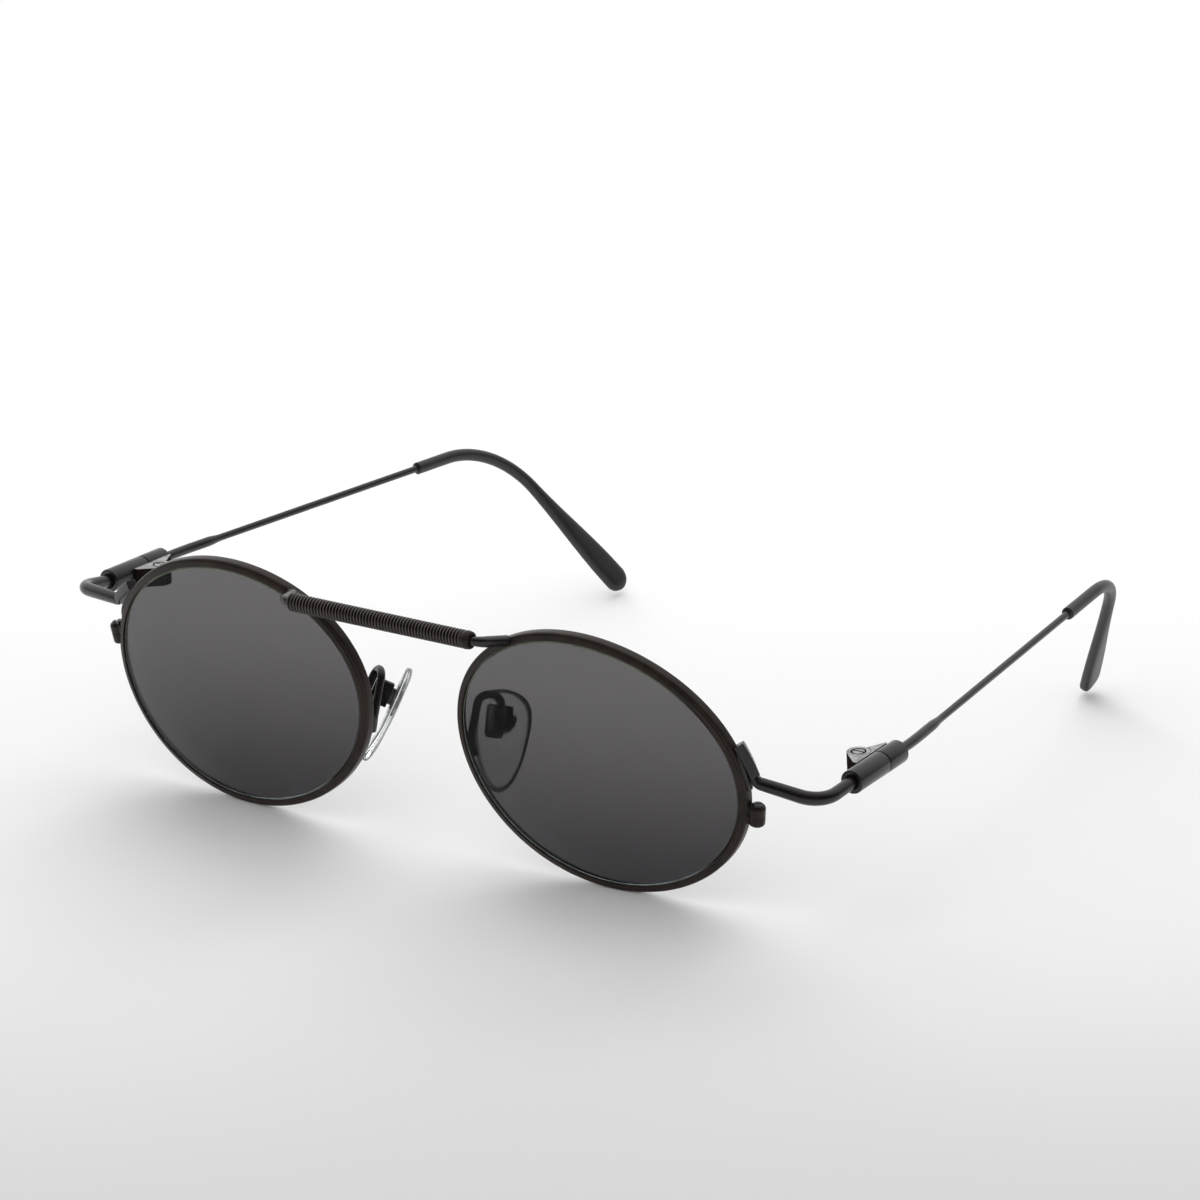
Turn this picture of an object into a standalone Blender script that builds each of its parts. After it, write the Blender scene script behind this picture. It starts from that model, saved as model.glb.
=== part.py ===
"""Oval wire-rim sunglasses with a wound bridge bar.

The front faces -Y, the temples run back along +Y and +Z is up.  +X is the wearer's left.
The glasses stand open on the bottoms of the two rims and on the ends of the two temple tips,
and the origin is the middle of their base.  Sizes are in metres.
"""

import math

import bmesh
import bpy
import numpy as np
from mathutils import Matrix, Vector

MM = 0.001

# Clearances
GAP = 0.30 * MM              # between pieces that are soldered, seated or screwed together
PIVOT_GAP = 0.30 * MM        # between the knuckles of a hinge and round its screw
ROCK_GAP = 0.45 * MM         # behind a nose pad, so that it can rock on its box

# Lenses and rims
LENS_HALF_WIDTH = 24.25 * MM
LENS_HALF_HEIGHT = 19.55 * MM
LENS_THICKNESS = 1.3 * MM
LENS_BEVEL = 0.50 * MM       # how far the edge of the lens stands into the groove of the rim
BASE_CURVE_RADIUS = 72.0 * MM
RIM_WALL = 1.20 * MM         # from the glass opening out to the outer side of the rim
RIM_DEPTH = 1.80 * MM        # front to back
RIM_GROOVE_DEPTH = 0.60 * MM
RIM_EDGE_ROUND = 0.35 * MM
RIM_SEGMENTS = 60
EYE_SPACING = 68.0 * MM      # from the middle of one lens to the middle of the other
EYE_ROLL = math.radians(8.6)     # the outer ends of the ovals sit lower
EYE_WRAP = math.radians(2.9)     # the outer ends of the ovals sit further back
EYE_TILT = math.radians(8.4)     # the tops of the ovals lean forward

# Lock that closes each rim on its outer side
LOCK_RADIUS = 1.30 * MM
LOCK_HALF_HEIGHT = 1.50 * MM
LOCK_RISE = 2.5 * MM         # along the rim, above the end of the oval
LOCK_SCREW_RADIUS = 0.38 * MM
LOCK_HEAD_RADIUS = 0.90 * MM
LOCK_HEAD_HEIGHT = 0.50 * MM

# Bridge
BAR_RADIUS = 0.70 * MM
BAR_FORWARD = 5.1 * MM       # from the middle of the lenses to the bar
BAR_RISE = 18.6 * MM         # from the middle of the lenses to the bar
BAR_BEND_RADIUS = 1.8 * MM
BAR_SEAT_ANGLE = math.radians(131.0)
BAR_SEAT_SWEEP = math.radians(3.5)
BAR_SEAT_LEAN = math.radians(25.0)   # from straight in front of the rim's edge towards above it
COIL_LENGTH = 34.2 * MM
COIL_TURNS = 40
COIL_WIRE_RADIUS = 0.21 * MM
COIL_POINTS_PER_TURN = 8
COIL_GAP_LEAST = 0.40 * MM

# End pieces, from the rims to the hinges
END_WIRE_RADIUS = 1.00 * MM
END_SEAT_TOP = math.radians(35.0)
END_SEAT_FOOT = math.radians(20.5)
END_FOOT_RADIUS = 2.2 * MM
END_BEND_RADIUS = 3.0 * MM
END_CORNER_SPACING = 140.0 * MM
END_CORNER_BACK = 8.7 * MM
END_CORNER_DROP = 1.2 * MM   # below the foot on the rim

# Hinges and their sleeves
SLEEVE_RADIUS = 1.85 * MM
SLEEVE_SPACING = 140.6 * MM      # between the axes of the two sleeves at their front ends
SLEEVE_BACK = 16.0 * MM
SLEEVE_RISE = 3.5 * MM
HINGE_SKEW = 3.1 * MM        # the wearer's left hinge lies this much lower, and the right one higher
SLEEVE_SPLAY = math.radians(1.5)     # the sleeves draw together a little towards the back
SLEEVE_ROUND = 0.25 * MM
FRONT_SLEEVE_LENGTH = 8.2 * MM
REAR_SLEEVE_LENGTH = 5.0 * MM
SLEEVE_WIRE_STOP = 1.0 * MM      # from the seam to the ends of the wires inside the sleeves
KNUCKLE_RADIUS = 1.65 * MM
KNUCKLE_HEIGHT = 0.80 * MM
LEAF_THICKNESS = 0.825 * MM
LEAF_LENGTH = 3.8 * MM
LEAF_LIFT = 0.1 * MM         # the middle of the hinge above the axis of the sleeve
HINGE_SCREW_RADIUS = 0.42 * MM
HINGE_HEAD_RADIUS = 1.00 * MM
HINGE_HEAD_HEIGHT = 0.45 * MM
SCREW_SLOT_WIDTH = 0.28 * MM
SCREW_SLOT_DEPTH = 0.25 * MM
SCREW_CROWN = 0.15 * MM      # how far the edge of a screw's head is rounded down

# Temples
TEMPLE_PITCH = math.radians(2.35)    # the temples rise towards the back
TEMPLE_SKEW = 1.2 * MM       # how much of the skew of the hinges is left at the ear bends
TEMPLE_SET = math.radians(5.4)       # and bend towards the head behind the sleeves
TEMPLE_SET_START = 4.0 * MM          # from the sleeve to the corner of that bend
TEMPLE_SET_RADIUS = 60.0 * MM
TEMPLE_THICK_RADIUS = 0.78 * MM
TEMPLE_THIN_RADIUS = 0.56 * MM
TEMPLE_THICK_LENGTH = 10.5 * MM      # behind the sleeve
TEMPLE_TAPER_LENGTH = 3.0 * MM
TEMPLE_REACH = 73.3 * MM     # from the corner of the set to the corner of the ear bend
TIP_LEAD = 18.3 * MM         # from the front of the tip to the corner of the ear bend
TIP_SOCKET = 8.5 * MM
TIP_START_RADIUS = 1.25 * MM
TIP_MIDDLE_HALF_WIDTH = 1.40 * MM
TIP_END_HALF_WIDTH = 2.25 * MM
TIP_HALF_THICKNESS = 1.15 * MM
TIP_DROP_TRIAL = 31.0 * MM   # a length of the drop to measure its lowest point with
TIP_LAST_ROUND = 0.55        # of its thickness, what the tip keeps at its very end
TIP_MIDDLE_SHARE = 0.45      # of the way along, where the tip has its middle width
TIP_WIDE_SHARE = 0.85        # and where it has its full width
TIP_BEND_RADIUS = 14.0 * MM
TIP_DROP_ANGLE = math.radians(51.0)
TIP_DROP_SPLAY = math.radians(43.0)

# Nose pads and their arms
PAD_SPACING = 21.3 * MM      # between the middles of the two pads
PAD_BACK = 10.4 * MM         # behind the middle of the lenses
PAD_DROP = 2.9 * MM          # below the middle of the lenses
PAD_LENGTH = 15.8 * MM
PAD_WIDTH = 9.5 * MM
PAD_THICKNESS = 1.5 * MM
PAD_DRAW = 0.28              # how much the pad narrows from its top to its middle
PAD_WIDEST = 0.35            # where it is widest, as a share of the way up from its middle
PAD_FULLNESS = 2.6           # the power of its outline: 2 is an ellipse, more is squarer
PAD_END_WIDTH = 0.11         # of its width, what is left at its very ends
PAD_END_THICKNESS = 0.35     # and of its thickness
PAD_LEAN = math.radians(26.5)
PAD_FLARE = math.radians(12.8)
PAD_SPLAY = math.radians(38.0)
PAD_TAB_HEIGHT = 2.6 * MM
PAD_TAB_WIDTH = 1.1 * MM
PAD_BOX_RISE = 2.9 * MM      # the box above the middle of the pad
PAD_BOX_FORWARD = 1.2 * MM   # and nearer to the front edge of the pad
PAD_BOX_WALL = 0.60 * MM
PAD_BOX_HEIGHT = 3.8 * MM
PAD_SCREW_RADIUS = 0.34 * MM
PAD_HEAD_RADIUS = 0.80 * MM
PAD_HEAD_HEIGHT = 0.45 * MM
ARM_RADIUS = 0.60 * MM
ARM_SEAT_ANGLE = math.radians(203.0)
ARM_SEAT_SWEEP = math.radians(7.0)
ARM_LOOP_RISE = 3.5 * MM     # the top of the loop above the middle of the box
ARM_LOOP_RADIUS = 1.8 * MM
ARM_FOOT_RADIUS = 1.0 * MM
ARM_LEG_LEAN = 1.3 * MM       # how far the leg by the rim leans back up to the loop

# What follows from these sizes
HINGE_OFFSET = SLEEVE_RADIUS + GAP + LEAF_THICKNESS + 0.5 * KNUCKLE_RADIUS
HINGE_HEIGHT = 3 * KNUCKLE_HEIGHT + 2 * PIVOT_GAP
COIL_RADIUS = BAR_RADIUS + GAP + COIL_WIRE_RADIUS


def clear_scene():
    for item in list(bpy.data.objects):
        bpy.data.objects.remove(item, do_unlink=True)


def new_collection(name):
    group = bpy.data.collections.new(name)
    bpy.context.scene.collection.children.link(group)
    return group


def new_material(name, colour, metallic, roughness, alpha=1.0):
    made = bpy.data.materials.new(name)
    made.use_nodes = True
    shader = made.node_tree.nodes["Principled BSDF"]
    shader.inputs["Base Color"].default_value = (*colour, 1.0)
    shader.inputs["Metallic"].default_value = metallic
    shader.inputs["Roughness"].default_value = roughness
    shader.inputs["Alpha"].default_value = alpha
    made.diffuse_color = (*colour, alpha)
    return made


clear_scene()
PARTS = new_collection("oval_sunglasses")
GUIDES = new_collection("cutters_and_guides")
BLACK_WIRE = new_material("satin_black_wire", (0.035, 0.030, 0.028), 0.6, 0.42)
BLACK_RIM = new_material("satin_black_rim", (0.040, 0.034, 0.032), 0.6, 0.40)
BLACK_SLEEVE = new_material("satin_black_sleeve", (0.038, 0.036, 0.036), 0.5, 0.38)
CHROME = new_material("bright_nickel", (0.78, 0.78, 0.80), 1.0, 0.12)
BLACK_SCREW = new_material("black_screw_steel", (0.05, 0.048, 0.046), 0.8, 0.35)
GREY_GLASS = new_material("grey_lens", (0.10, 0.10, 0.105), 0.0, 0.05, 0.75)
CLEAR_PAD = new_material("clear_silicone", (0.92, 0.93, 0.93), 0.0, 0.12, 0.35)
BLACK_TIP = new_material("black_tip_plastic", (0.020, 0.020, 0.022), 0.0, 0.30)


def new_empty(name, place, parent=None):
    marker = bpy.data.objects.new(name, None)
    marker.empty_display_size = 3 * MM
    PARTS.objects.link(marker)
    marker.matrix_world = place
    bpy.context.view_layer.update()
    keep_place(marker, parent)
    return marker


def keep_place(item, parent):
    if parent is not None:
        item.parent = parent
        item.matrix_parent_inverse = parent.matrix_world.inverted()
    bpy.context.view_layer.update()


def finish_part(item, material, parent, smooth_angle=35.0):
    """Files an object with the parts and gives it its material; its cutters follow its parent too."""
    for group in list(item.users_collection):
        group.objects.unlink(item)
    PARTS.objects.link(item)
    item.data.materials.clear()
    item.data.materials.append(material)
    if item.type == "MESH":
        item.data.shade_smooth()
        item.data.set_sharp_from_angle(angle=math.radians(smooth_angle))
    for step in item.modifiers:
        if step.type == "BOOLEAN":
            keep_place(step.object, parent)
    keep_place(item, parent)
    return item


def as_guide(item):
    """A cutter or a profile is drawn as wire and isn't a part."""
    item.hide_render = True
    item.display_type = "WIRE"
    for group in list(item.users_collection):
        group.objects.unlink(item)
    GUIDES.objects.link(item)
    return item


def mesh_object(name, body, place=Matrix()):
    mesh = bpy.data.meshes.new(name)
    body.to_mesh(mesh)
    body.free()
    item = bpy.data.objects.new(name, mesh)
    PARTS.objects.link(item)
    item.matrix_world = place
    bpy.context.view_layer.update()
    return item


def axis_place(start, end):
    """Frame at the middle of a line, with its Z axis along the line."""
    start = Vector(start)
    end = Vector(end)
    turn = (end - start).to_track_quat("Z", "Y").to_matrix().to_4x4()
    return Matrix.Translation((start + end) / 2) @ turn


def round_bar(name, start, end, radius, sides=20):
    body = bmesh.new()
    length = (Vector(end) - Vector(start)).length
    bmesh.ops.create_cone(
        body, cap_ends=True, segments=sides, radius1=radius, radius2=radius, depth=length
    )
    return mesh_object(name, body, axis_place(start, end))


def block(name, low, high, place):
    """A box between two corners of the frame that place gives."""
    body = bmesh.new()
    size = Vector(high) - Vector(low)
    middle = (Vector(high) + Vector(low)) / 2
    shape = Matrix.Translation(middle) @ Matrix.Diagonal((*size, 1.0))
    bmesh.ops.create_cube(body, size=1.0, matrix=shape)
    return mesh_object(name, body, place)


def combine(item, other, operation):
    step = item.modifiers.new(operation.lower(), "BOOLEAN")
    step.operation = operation
    step.object = as_guide(other)
    step.solver = "EXACT"
    return item


def wire(name, points, radius, radii=None, resolution=2):
    """A round wire along a list of points; radii may set its radius at each of them."""
    data = bpy.data.curves.new(name, "CURVE")
    data.dimensions = "3D"
    data.bevel_depth = radius
    data.bevel_resolution = resolution
    data.use_fill_caps = True
    data.resolution_u = 1
    line = data.splines.new("POLY")
    line.points.add(len(points) - 1)
    for count, point in enumerate(points):
        line.points[count].co = (*point, 1.0)
        if radii is not None:
            line.points[count].radius = radii[count] / radius
    item = bpy.data.objects.new(name, data)
    PARTS.objects.link(item)
    bpy.context.view_layer.update()
    return item


def rounded_path(corners, bend_radii, arc_steps=6):
    """Straight runs between the corners, with an arc of the given radius at each inner corner."""
    corners = [Vector(corner) for corner in corners]
    path = [corners[0]]
    for count in range(1, len(corners) - 1):
        before = (corners[count - 1] - corners[count]).normalized()
        after = (corners[count + 1] - corners[count]).normalized()
        half_angle = before.angle(after) / 2
        radius = bend_radii[count - 1]
        middle = corners[count] + (before + after).normalized() * radius / math.sin(half_angle)
        start = corners[count] + before * radius / math.tan(half_angle)
        turn_axis = before.cross(after).normalized()
        turn = -(math.pi - 2 * half_angle)
        for step in range(arc_steps + 1):
            spin = Matrix.Rotation(turn * step / arc_steps, 3, turn_axis)
            path.append(middle + spin @ (start - middle))
    path.append(corners[-1])
    return path


def turned(name, profile, place, steps=24):
    """A profile of (radius, height) points turned about the Z axis of the frame that place gives."""
    data = bpy.data.meshes.new(name)
    points = [(radius, 0.0, height) for radius, height in profile]
    data.from_pydata(points, [(i, i + 1) for i in range(len(points) - 1)], [])
    item = bpy.data.objects.new(name, data)
    PARTS.objects.link(item)
    item.matrix_world = place
    step = item.modifiers.new("turn", "SCREW")
    step.steps = steps
    step.render_steps = steps
    step.use_merge_vertices = True
    step.merge_threshold = 0.00001
    bpy.context.view_layer.update()
    return item


def lens_sag(across, up):
    """How far the curved front has fallen back at a place of the oval."""
    return (across**2 + up**2) / (2 * BASE_CURVE_RADIUS)


def oval_point(angle, outward, back=0.0):
    """A place beside the oval of the glass: x away from the nose, y back and z up."""
    across = LENS_HALF_WIDTH * math.cos(angle)
    up = LENS_HALF_HEIGHT * math.sin(angle)
    normal = Vector((LENS_HALF_HEIGHT * math.cos(angle), 0.0, LENS_HALF_WIDTH * math.sin(angle)))
    moved = Vector((across, 0.0, up)) + normal.normalized() * outward
    moved.y = back + lens_sag(moved.x, moved.z)
    return moved


def eye_turn(side):
    tilt = Matrix.Rotation(EYE_TILT, 4, "X")
    wrap = Matrix.Rotation(side * EYE_WRAP, 4, "Z")
    roll = Matrix.Rotation(side * EYE_ROLL, 4, "Y")
    return tilt @ wrap @ roll


def mirrored(point, side):
    return Vector((side * point[0], point[1], point[2]))


def rim_lowest():
    """The lowest point of the outer side of a rim below the middle of its lens."""
    turn = eye_turn(1)
    angles = np.linspace(0.0, 2 * math.pi, 361)
    faces = (-RIM_DEPTH / 2, RIM_DEPTH / 2)
    rims = [oval_point(angle, RIM_WALL, back) for angle in angles for back in faces]
    return min((turn @ point).z for point in rims)


EYE_HEIGHT = -rim_lowest()


def eye_place(side):
    """The frame of one eye: its origin is the middle of the rim's opening."""
    return Matrix.Translation((side * EYE_SPACING / 2, 0.0, EYE_HEIGHT)) @ eye_turn(side)


def eye_point(side, angle, outward, back=0.0):
    return eye_place(side) @ mirrored(oval_point(angle, outward, back), side)


def skew_angle(side):
    """How far round the rim the skew of the hinges moves what stands on its outer side."""
    return -side * HINGE_SKEW / LENS_HALF_HEIGHT


def lock_angle(side):
    """Where the rim is cut."""
    return math.asin(LOCK_RISE / LENS_HALF_HEIGHT) + skew_angle(side)


def make_rim(side, name, parent):
    """A C-shaped channel round the lens, cut through at the lock."""
    cut = lock_angle(side)
    half_cut = GAP / 2 / LENS_HALF_HEIGHT
    angles = np.linspace(cut + half_cut, cut + 2 * math.pi - half_cut, RIM_SEGMENTS + 1)
    half = RIM_DEPTH / 2
    mouth = LENS_BEVEL + GAP / 2
    profile = [
        (0.0, -half + RIM_EDGE_ROUND),
        (0.0, -mouth),
        (RIM_GROOVE_DEPTH, 0.0),
        (0.0, mouth),
        (0.0, half - RIM_EDGE_ROUND),
        (RIM_EDGE_ROUND, half),
        (RIM_WALL - RIM_EDGE_ROUND, half),
        (RIM_WALL, half - RIM_EDGE_ROUND),
        (RIM_WALL, -half + RIM_EDGE_ROUND),
        (RIM_WALL - RIM_EDGE_ROUND, -half),
        (RIM_EDGE_ROUND, -half),
    ]
    body = bmesh.new()
    rings = []
    for angle in angles:
        ring = [body.verts.new(mirrored(oval_point(angle, out, back), side)) for out, back in profile]
        rings.append(ring)
    close_loft(body, rings)
    rim = mesh_object(name, body, eye_place(side))
    return finish_part(rim, BLACK_RIM, parent)


def face_outwards(body):
    """All faces alike, and turned round if the closed body they make is inside out."""
    bmesh.ops.recalc_face_normals(body, faces=body.faces)
    if body.calc_volume(signed=True) < 0.0:
        bmesh.ops.reverse_faces(body, faces=body.faces)


def close_loft(body, rings):
    """Quads between neighbouring rings, a cap on each end, and all faces pointing out."""
    count = len(rings[0])
    for here, there in zip(rings, rings[1:]):
        for k in range(count):
            nxt = (k + 1) % count
            body.faces.new((here[k], here[nxt], there[nxt], there[k]))
    body.faces.new(list(reversed(rings[0])))
    body.faces.new(rings[-1])
    face_outwards(body)


def make_lens(side, name, parent):
    """A meniscus of even thickness; its edge has a V-shaped bevel that stands in the rim's groove."""
    steps = 5
    edge = -GAP
    half = LENS_THICKNESS / 2
    profile = [(0.0, -half)]
    profile += [(k / steps, -half) for k in range(1, steps + 1)]
    profile += [(1.0, 0.0)]
    profile += [(k / steps, half) for k in range(steps, 0, -1)]
    profile += [(0.0, half)]
    disc = turned(name + "_disc", profile, Matrix(), steps=RIM_SEGMENTS)
    shape = bpy.data.meshes.new_from_object(disc.evaluated_get(bpy.context.evaluated_depsgraph_get()))
    bpy.data.objects.remove(disc)
    body = bmesh.new()
    body.from_mesh(shape)
    bpy.data.meshes.remove(shape)
    bmesh.ops.remove_doubles(body, verts=body.verts, dist=0.0001)
    for vert in body.verts:
        share = math.hypot(vert.co.x, vert.co.y)
        angle = math.atan2(vert.co.y, vert.co.x)
        bevel = LENS_BEVEL if share > 0.999 and abs(vert.co.z) < half / 2 else 0.0
        rim = oval_point(angle, edge + bevel)
        across = rim.x * share
        up = rim.z * share
        vert.co = mirrored((across, vert.co.z + lens_sag(across, up), up), side)
    face_outwards(body)
    lens = mesh_object(name, body, eye_place(side))
    return finish_part(lens, GREY_GLASS, parent)


def screw_with_slot(name, head_top, tail, shank_radius, head_radius, head_height, parent, material):
    """A shank with a slotted cheese head; head_top and tail are the two ends of its axis."""
    head_top = Vector(head_top)
    tail = Vector(tail)
    length = (head_top - tail).length
    place = axis_place(tail, head_top) @ Matrix.Translation((0, 0, -length / 2))
    profile = [
        (0.0, length),
        (head_radius - SCREW_CROWN, length),
        (head_radius, length - SCREW_CROWN),
        (head_radius, length - head_height),
        (shank_radius, length - head_height),
        (shank_radius, 0.0),
        (0.0, 0.0),
    ]
    screw = turned(name, profile, place, steps=16)
    low = (-2 * head_radius, -SCREW_SLOT_WIDTH / 2, length - SCREW_SLOT_DEPTH)
    high = (2 * head_radius, SCREW_SLOT_WIDTH / 2, length + SCREW_SLOT_DEPTH)
    slot = block(name + "_slot", low, high, place)
    combine(screw, slot, "DIFFERENCE")
    return finish_part(screw, material, parent)


def make_lock(side, suffix, parent):
    """Two short barrels, one on each end of the cut rim, drawn together by a screw."""
    cut = lock_angle(side)
    outward = RIM_WALL + GAP + LOCK_RADIUS
    middle = eye_point(side, cut, outward)
    up = (eye_place(side).to_3x3() @ Vector((0, 0, 1))).normalized()
    hole_radius = LOCK_SCREW_RADIUS + GAP
    for word, sign in (("upper", 1), ("lower", -1)):
        near = middle + up * sign * GAP / 2
        far = near + up * sign * LOCK_HALF_HEIGHT
        barrel = round_bar(f"lock_{word}_{suffix}", near, far, LOCK_RADIUS)
        name = f"lock_{word}_{suffix}_hole"
        hole = round_bar(name, near - up * sign * MM, far + up * sign * MM, hole_radius, 16)
        combine(barrel, hole, "DIFFERENCE")
        finish_part(barrel, BLACK_RIM, parent)
    reach = GAP / 2 + LOCK_HALF_HEIGHT
    top = middle + up * (reach + GAP + LOCK_HEAD_HEIGHT)
    tail = middle - up * (reach + GAP)
    screw = f"lock_screw_{suffix}"
    sizes = (LOCK_SCREW_RADIUS, LOCK_HEAD_RADIUS, LOCK_HEAD_HEIGHT)
    screw_with_slot(screw, top, tail, *sizes, parent, BLACK_SCREW)


def bar_seat(side):
    """Where an end of the bridge bar lies: on the front upper edge of the rim, towards the nose."""
    reach = BAR_RADIUS + GAP
    outward = RIM_WALL - RIM_EDGE_ROUND + reach * math.sin(BAR_SEAT_LEAN)
    back = -RIM_DEPTH / 2 - reach * math.cos(BAR_SEAT_LEAN)
    start = eye_point(side, BAR_SEAT_ANGLE, outward, back)
    end = eye_point(side, BAR_SEAT_ANGLE - BAR_SEAT_SWEEP, outward, back)
    return start, end


def make_bridge(parent):
    """One bar across the top of the front, bent back at both ends onto the rims."""
    height = EYE_HEIGHT + BAR_RISE
    straight_half = COIL_LENGTH / 2 + GAP + BAR_BEND_RADIUS / 2
    ends = []
    for side in (1, -1):
        start, end = bar_seat(side)
        ends.append([end, start, Vector((side * straight_half, -BAR_FORWARD, height))])
    corners = ends[1] + list(reversed(ends[0]))
    bend = BAR_BEND_RADIUS
    path = rounded_path(corners, [bend * 0.5, bend, bend, bend * 0.5], arc_steps=5)
    bar = wire("bridge_bar", path, BAR_RADIUS)
    finish_part(bar, BLACK_WIRE, parent)


def coil_points():
    """A helix about the bar: even pitch, and a fixed number of points in each turn."""
    count = COIL_TURNS * COIL_POINTS_PER_TURN + 1
    turns = np.arange(count) / COIL_POINTS_PER_TURN
    angle = 2 * math.pi * turns
    length = COIL_LENGTH - 2 * COIL_WIRE_RADIUS
    x = -length / 2 + length * turns / COIL_TURNS
    y = -BAR_FORWARD + COIL_RADIUS * np.cos(angle)
    z = EYE_HEIGHT + BAR_RISE + COIL_RADIUS * np.sin(angle)
    return np.stack([x, y, z], axis=1)


def coil_self_gap(points):
    """The least space between the wire and itself, a turn or so further on."""
    skip = COIL_POINTS_PER_TURN // 2
    least = min(
        float(np.min(np.linalg.norm(points[shift:] - points[:-shift], axis=1)))
        for shift in range(skip, 2 * COIL_POINTS_PER_TURN)
    )
    return least - 2 * COIL_WIRE_RADIUS


def make_coil(parent):
    points = coil_points()
    gap = coil_self_gap(points)
    state = "clear of itself" if gap > COIL_GAP_LEAST else "too close to itself"
    print(f"bridge coil: {COIL_TURNS} turns, least gap {gap / MM:.3f} mm, {state}")
    coil = wire("bridge_coil", [tuple(point) for point in points], COIL_WIRE_RADIUS, resolution=1)
    finish_part(coil, BLACK_WIRE, parent)


def sleeve_place(side):
    """Frame at the seam of a sleeve: Y runs back along the temple, Z is the hinge's axis."""
    height = EYE_HEIGHT + SLEEVE_RISE - side * HINGE_SKEW
    front = Vector((side * SLEEVE_SPACING / 2, SLEEVE_BACK, height))
    pitch = TEMPLE_PITCH + side * math.atan((HINGE_SKEW - TEMPLE_SKEW) / TEMPLE_REACH)
    turn = Matrix.Rotation(side * SLEEVE_SPLAY, 4, "Z") @ Matrix.Rotation(pitch, 4, "X")
    return Matrix.Translation(front) @ turn @ Matrix.Translation((0, FRONT_SLEEVE_LENGTH, 0))


def temple_place(side):
    """Frame at the corner of the temple's set: Y runs along the temple as far as the ear bend."""
    corner = Matrix.Translation((0, REAR_SLEEVE_LENGTH + TEMPLE_SET_START, 0))
    return sleeve_place(side) @ corner @ Matrix.Rotation(side * TEMPLE_SET, 4, "Z")


def hinge_place(side):
    """The same frame, moved towards the head onto the hinge's axis."""
    return sleeve_place(side) @ Matrix.Translation((-side * HINGE_OFFSET, 0, 0))


def make_end_piece(side, suffix, parent):
    """A wire along the rim's outer side, out and round to the back, and into the front sleeve."""
    outward = RIM_WALL + GAP + END_WIRE_RADIUS
    seats = np.linspace(END_SEAT_TOP, END_SEAT_FOOT, 5)
    on_rim = [eye_point(side, float(angle) + skew_angle(side), outward) for angle in seats]
    foot = on_rim[-1]
    corner = Vector((side * END_CORNER_SPACING / 2, END_CORNER_BACK, foot.z - END_CORNER_DROP))
    stop = sleeve_place(side) @ Vector((0, -SLEEVE_WIRE_STOP, 0))
    mouth = sleeve_place(side) @ Vector((0, -FRONT_SLEEVE_LENGTH, 0))
    bends = rounded_path([on_rim[-2], foot, corner, mouth], [END_FOOT_RADIUS, END_BEND_RADIUS], 7)
    path = on_rim[:-1] + bends[1:]
    path.append(stop)
    piece = wire(f"end_piece_{suffix}", path, END_WIRE_RADIUS)
    finish_part(piece, BLACK_WIRE, parent)


def make_sleeve(side, name, low, high, bore, parent):
    """A tube round the wire: low and high are its ends along the temple."""
    length = high - low
    profile = [
        (bore, length),
        (SLEEVE_RADIUS - SLEEVE_ROUND, length),
        (SLEEVE_RADIUS, length - SLEEVE_ROUND),
        (SLEEVE_RADIUS, SLEEVE_ROUND),
        (SLEEVE_RADIUS - SLEEVE_ROUND, 0.0),
        (bore, 0.0),
        (bore, length),
    ]
    along = Matrix.Rotation(-math.pi / 2, 4, "X")
    place = sleeve_place(side) @ Matrix.Translation((0, low, 0)) @ along
    tube = turned(name, profile, place, steps=24)
    return finish_part(tube, BLACK_SLEEVE, parent)


def make_hinge(side, suffix, front, temple):
    """Three knuckles: the outer two stand on the front leaf, the middle one on the rear leaf."""
    place = hinge_place(side)
    low = LEAF_LIFT - HINGE_HEIGHT / 2
    high = LEAF_LIFT + HINGE_HEIGHT / 2
    wall = side * (HINGE_OFFSET - SLEEVE_RADIUS - GAP)
    inner = wall - side * LEAF_THICKNESS
    clear = KNUCKLE_RADIUS + PIVOT_GAP
    bore = HINGE_SCREW_RADIUS + PIVOT_GAP
    mid_low = LEAF_LIFT - KNUCKLE_HEIGHT / 2
    mid_high = LEAF_LIFT + KNUCKLE_HEIGHT / 2

    def post(name, bottom, top, radius, sides=24):
        start = place @ Vector((0, 0, bottom))
        end = place @ Vector((0, 0, top))
        return round_bar(name, start, end, radius, sides)

    left = min(wall, inner)
    right = max(wall, inner)
    front_name = f"front_leaf_{suffix}"
    leaf = block(front_name, (left, -LEAF_LENGTH - clear, low), (right, -GAP / 2, high), place)
    combine(leaf, post(front_name + "_barrel", low, high, KNUCKLE_RADIUS), "UNION")
    slot = post(front_name + "_slot", mid_low - PIVOT_GAP, mid_high + PIVOT_GAP, clear)
    combine(leaf, slot, "DIFFERENCE")
    combine(leaf, post(front_name + "_bore", low - MM, high + MM, bore, 16), "DIFFERENCE")
    finish_part(leaf, CHROME, front)

    rear_name = f"rear_leaf_{suffix}"
    leaf = block(rear_name, (left, GAP / 2, low), (right, LEAF_LENGTH, high), place)
    combine(leaf, post(rear_name + "_over", mid_high, high + MM, clear), "DIFFERENCE")
    combine(leaf, post(rear_name + "_under", low - MM, mid_low, clear), "DIFFERENCE")
    combine(leaf, post(rear_name + "_knuckle", mid_low, mid_high, KNUCKLE_RADIUS), "UNION")
    combine(leaf, post(rear_name + "_bore", low - MM, high + MM, bore, 16), "DIFFERENCE")
    finish_part(leaf, CHROME, temple)

    top = place @ Vector((0, 0, high + GAP + HINGE_HEAD_HEIGHT))
    tail = place @ Vector((0, 0, low))
    screw = f"hinge_screw_{suffix}"
    sizes = (HINGE_SCREW_RADIUS, HINGE_HEAD_RADIUS, HINGE_HEAD_HEIGHT)
    screw_with_slot(screw, top, tail, *sizes, front, CHROME)


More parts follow.
